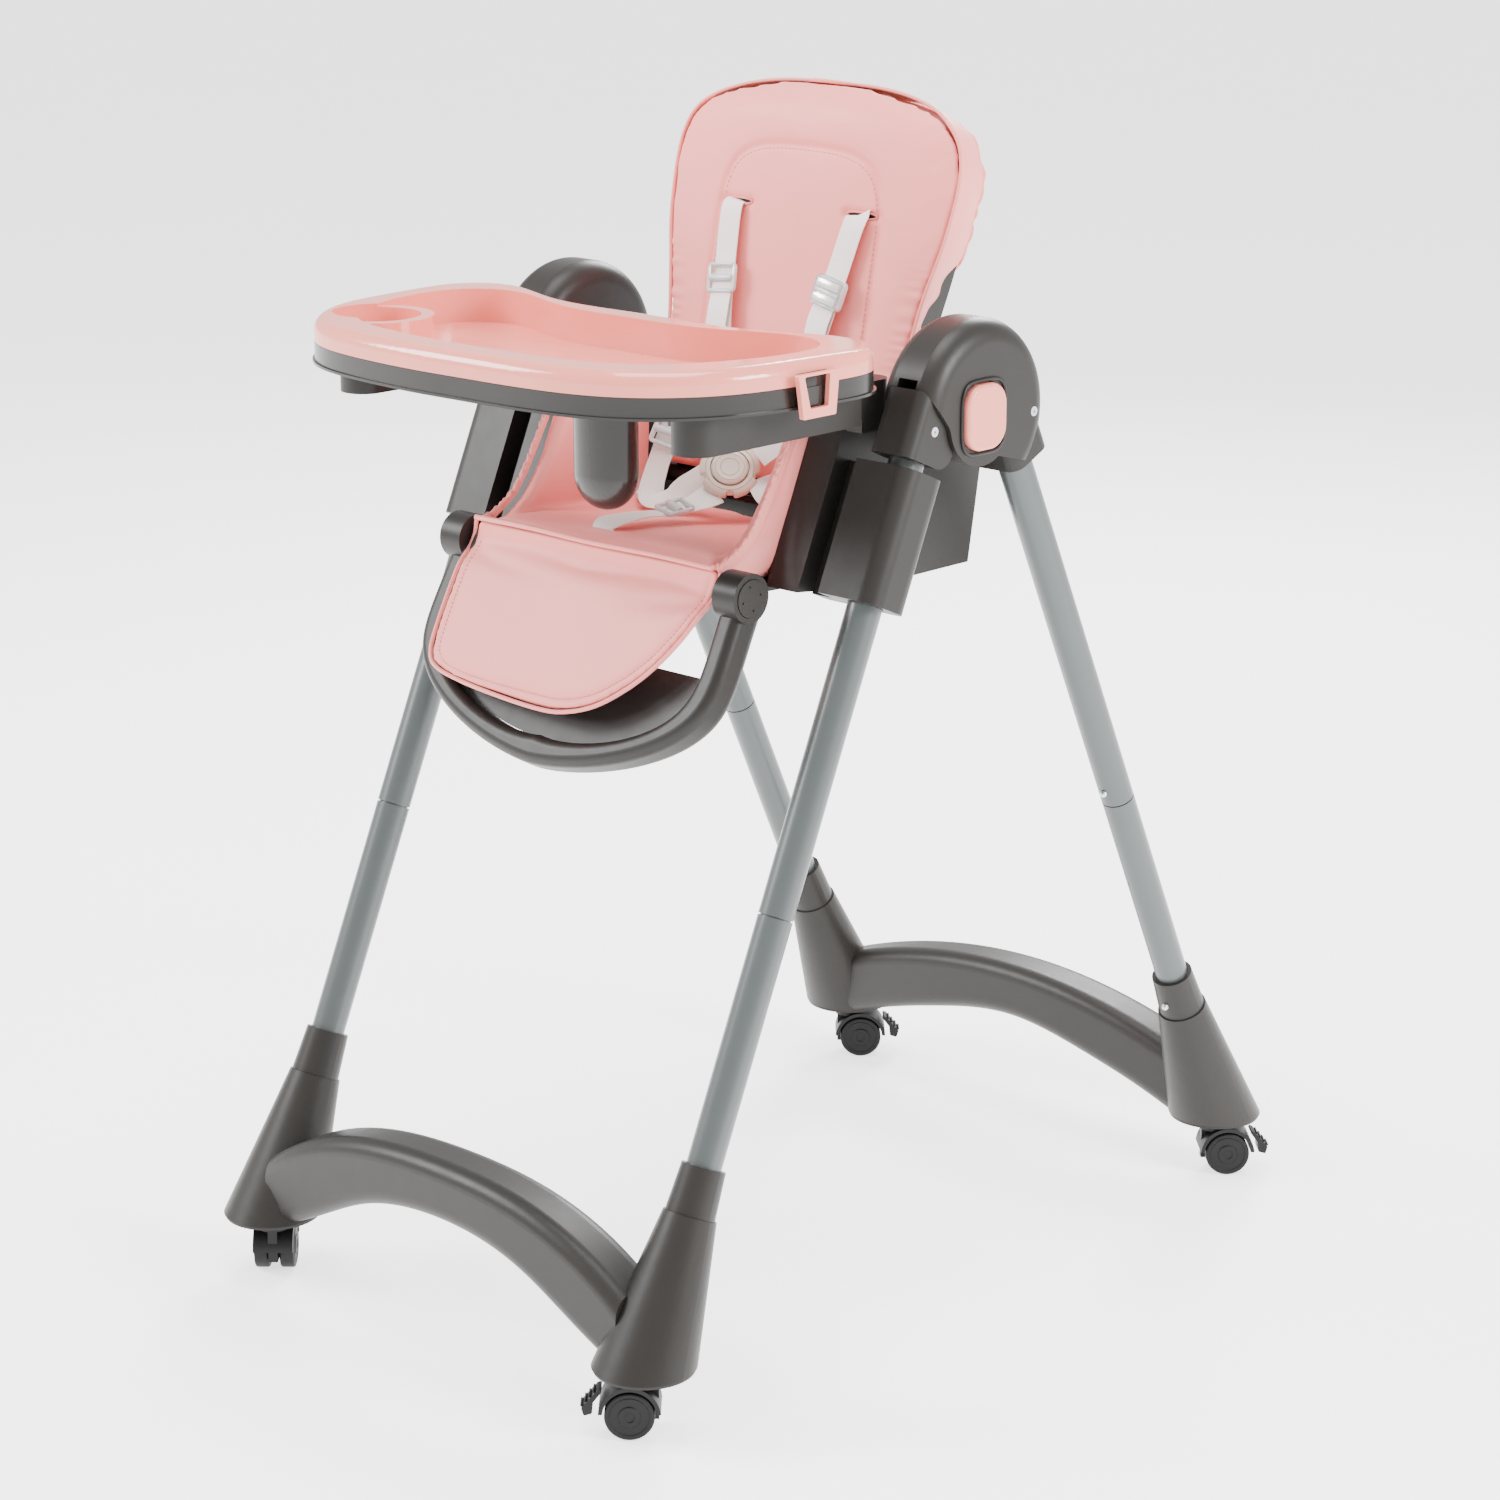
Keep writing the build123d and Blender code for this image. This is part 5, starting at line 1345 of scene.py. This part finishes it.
# ------------------------------------------------------------------ studio
def make_studio():
    """Pale floor, soft lights and the camera."""
    settings = bpy.context.scene.chair_studio
    deselect()
    bpy.ops.mesh.primitive_plane_add(size=60, location=(0, 0, -0.0002))
    floor = bpy.context.object
    floor.name = "studio_floor"
    nodes = Nodes("studio_floor")
    place = nodes.coordinates()
    tinted(nodes, place, tuple(settings.floor), 1.5, 0.01)
    nodes.set(Roughness=0.7, Specular_IOR_Level=0.2, Emission_Color=(1, 1, 1, 1), Emission_Strength=1.6)
    floor.data.materials.append(nodes.material)
    world = bpy.data.worlds.new("studio")
    bpy.context.scene.world = world
    world.use_nodes = True
    world.node_tree.nodes["Background"].inputs["Color"].default_value = (1, 1, 1, 1)
    world.node_tree.nodes["Background"].inputs["Strength"].default_value = 1.15
    add_light("key", (-2.6, -2.4, 2.6), (0, 0, 0.55), 1.6, 210)
    add_light("side", (2.8, 0.6, 1.8), (0, 0, 0.6), 1.0, 120)
    add_light("rear", (-1.4, 2.8, 2.4), (0, 0, 0.7), 1.2, 150)
    add_light("top", (0.2, -0.3, 3.4), (0, 0, 0.5), 1.6, 90)
    camera_data = bpy.data.cameras.new("camera")
    camera = bpy.data.objects.new("camera", camera_data)
    bpy.context.collection.objects.link(camera)
    camera.location = CAMERA_PLACE
    camera.rotation_euler = (math.pi / 2 - settings.elevation, 0, settings.azimuth)
    camera_data.lens = settings.lens
    camera_data.sensor_width = 36.0
    camera_data.clip_end = 100.0
    bpy.context.scene.camera = camera


def add_light(name, place, target, size, power):
    """Soft square light that looks at a point."""
    data = bpy.data.lights.new(name, "AREA")
    data.shape = "RECTANGLE"
    data.size = size
    data.size_y = size
    data.energy = power
    light = bpy.data.objects.new(name, data)
    bpy.context.collection.objects.link(light)
    light.location = place
    light.rotation_euler = (Vector(target) - Vector(place)).to_track_quat("-Z", "Y").to_euler()


# ------------------------------------------------------------------ operators
class CHAIR_OT_finishes(bpy.types.Operator):
    """Makes the finishes and puts them on the frame"""
    bl_idname = "chair.finishes"
    bl_label = "Finishes"

    def execute(self, context):
        make_materials()
        finish_frame()
        return {"FINISHED"}


class CHAIR_OT_back(bpy.types.Operator):
    """Builds the back pad, its slots and the hood over the shell"""
    bl_idname = "chair.back"
    bl_label = "Back pad"

    def execute(self, context):
        _, on_face = make_back_pad()
        make_strap_slots(on_face)
        make_hood()
        return {"FINISHED"}


class CHAIR_OT_seat(bpy.types.Operator):
    """Builds the seat pad with its wings"""
    bl_idname = "chair.seat"
    bl_label = "Seat pad"

    def execute(self, context):
        make_seat_pad()
        return {"FINISHED"}


class CHAIR_OT_calf(bpy.types.Operator):
    """Builds the calf flap"""
    bl_idname = "chair.calf"
    bl_label = "Calf flap"

    def execute(self, context):
        make_calf_flap()
        return {"FINISHED"}


class CHAIR_OT_harness(bpy.types.Operator):
    """Builds the straps, adjusters and buckle"""
    bl_idname = "chair.harness"
    bl_label = "Harness"

    def execute(self, context):
        make_shoulder_straps()
        make_lap_straps()
        make_buckle()
        return {"FINISHED"}


class CHAIR_OT_fittings(bpy.types.Operator):
    """Builds the button rims, wheel caps, lever ribs and clip plates"""
    bl_idname = "chair.fittings"
    bl_label = "Fittings"

    def execute(self, context):
        make_button_rims()
        make_wheel_caps()
        make_lever_ribs()
        make_band_plates()
        return {"FINISHED"}


class CHAIR_OT_studio(bpy.types.Operator):
    """Sets up the floor, lights and camera"""
    bl_idname = "chair.studio"
    bl_label = "Studio"

    def execute(self, context):
        make_studio()
        return {"FINISHED"}


OPERATORS = (CHAIR_OT_finishes, CHAIR_OT_back, CHAIR_OT_seat, CHAIR_OT_calf, CHAIR_OT_harness,
             CHAIR_OT_fittings, CHAIR_OT_studio)
GROUPS = {"chair_upholstery": UpholsterySizes, "chair_harness": HarnessSizes,
          "chair_colours": FinishColours, "chair_studio": StudioSettings}


class CHAIR_PT_panel(bpy.types.Panel):
    """Lists the chair's settings and build steps"""
    bl_idname = "CHAIR_PT_panel"
    bl_label = "High Chair"
    bl_space_type = "VIEW_3D"
    bl_region_type = "UI"
    bl_category = "High Chair"

    def draw(self, context):
        for group in GROUPS:
            box = self.layout.box()
            for key in getattr(context.scene, group).bl_rna.properties.keys():
                if key not in ("rna_type", "name"):
                    box.prop(getattr(context.scene, group), key)
        for operator in OPERATORS:
            self.layout.operator(operator.bl_idname)


def register():
    for group in GROUPS.values():
        bpy.utils.register_class(group)
    for key, group in GROUPS.items():
        setattr(bpy.types.Scene, key, PointerProperty(type=group))
    for operator in OPERATORS:
        bpy.utils.register_class(operator)
    bpy.utils.register_class(CHAIR_PT_panel)


def unregister():
    bpy.utils.unregister_class(CHAIR_PT_panel)
    for operator in reversed(OPERATORS):
        bpy.utils.unregister_class(operator)
    for key in GROUPS:
        delattr(bpy.types.Scene, key)
    for group in GROUPS.values():
        bpy.utils.unregister_class(group)


def main():
    """Builds everything in order."""
    register()
    bpy.ops.chair.finishes()
    bpy.ops.chair.back()
    bpy.ops.chair.seat()
    bpy.ops.chair.calf()
    bpy.ops.chair.harness()
    bpy.ops.chair.fittings()
    bpy.ops.chair.studio()


if __name__ == "__main__":
    main()
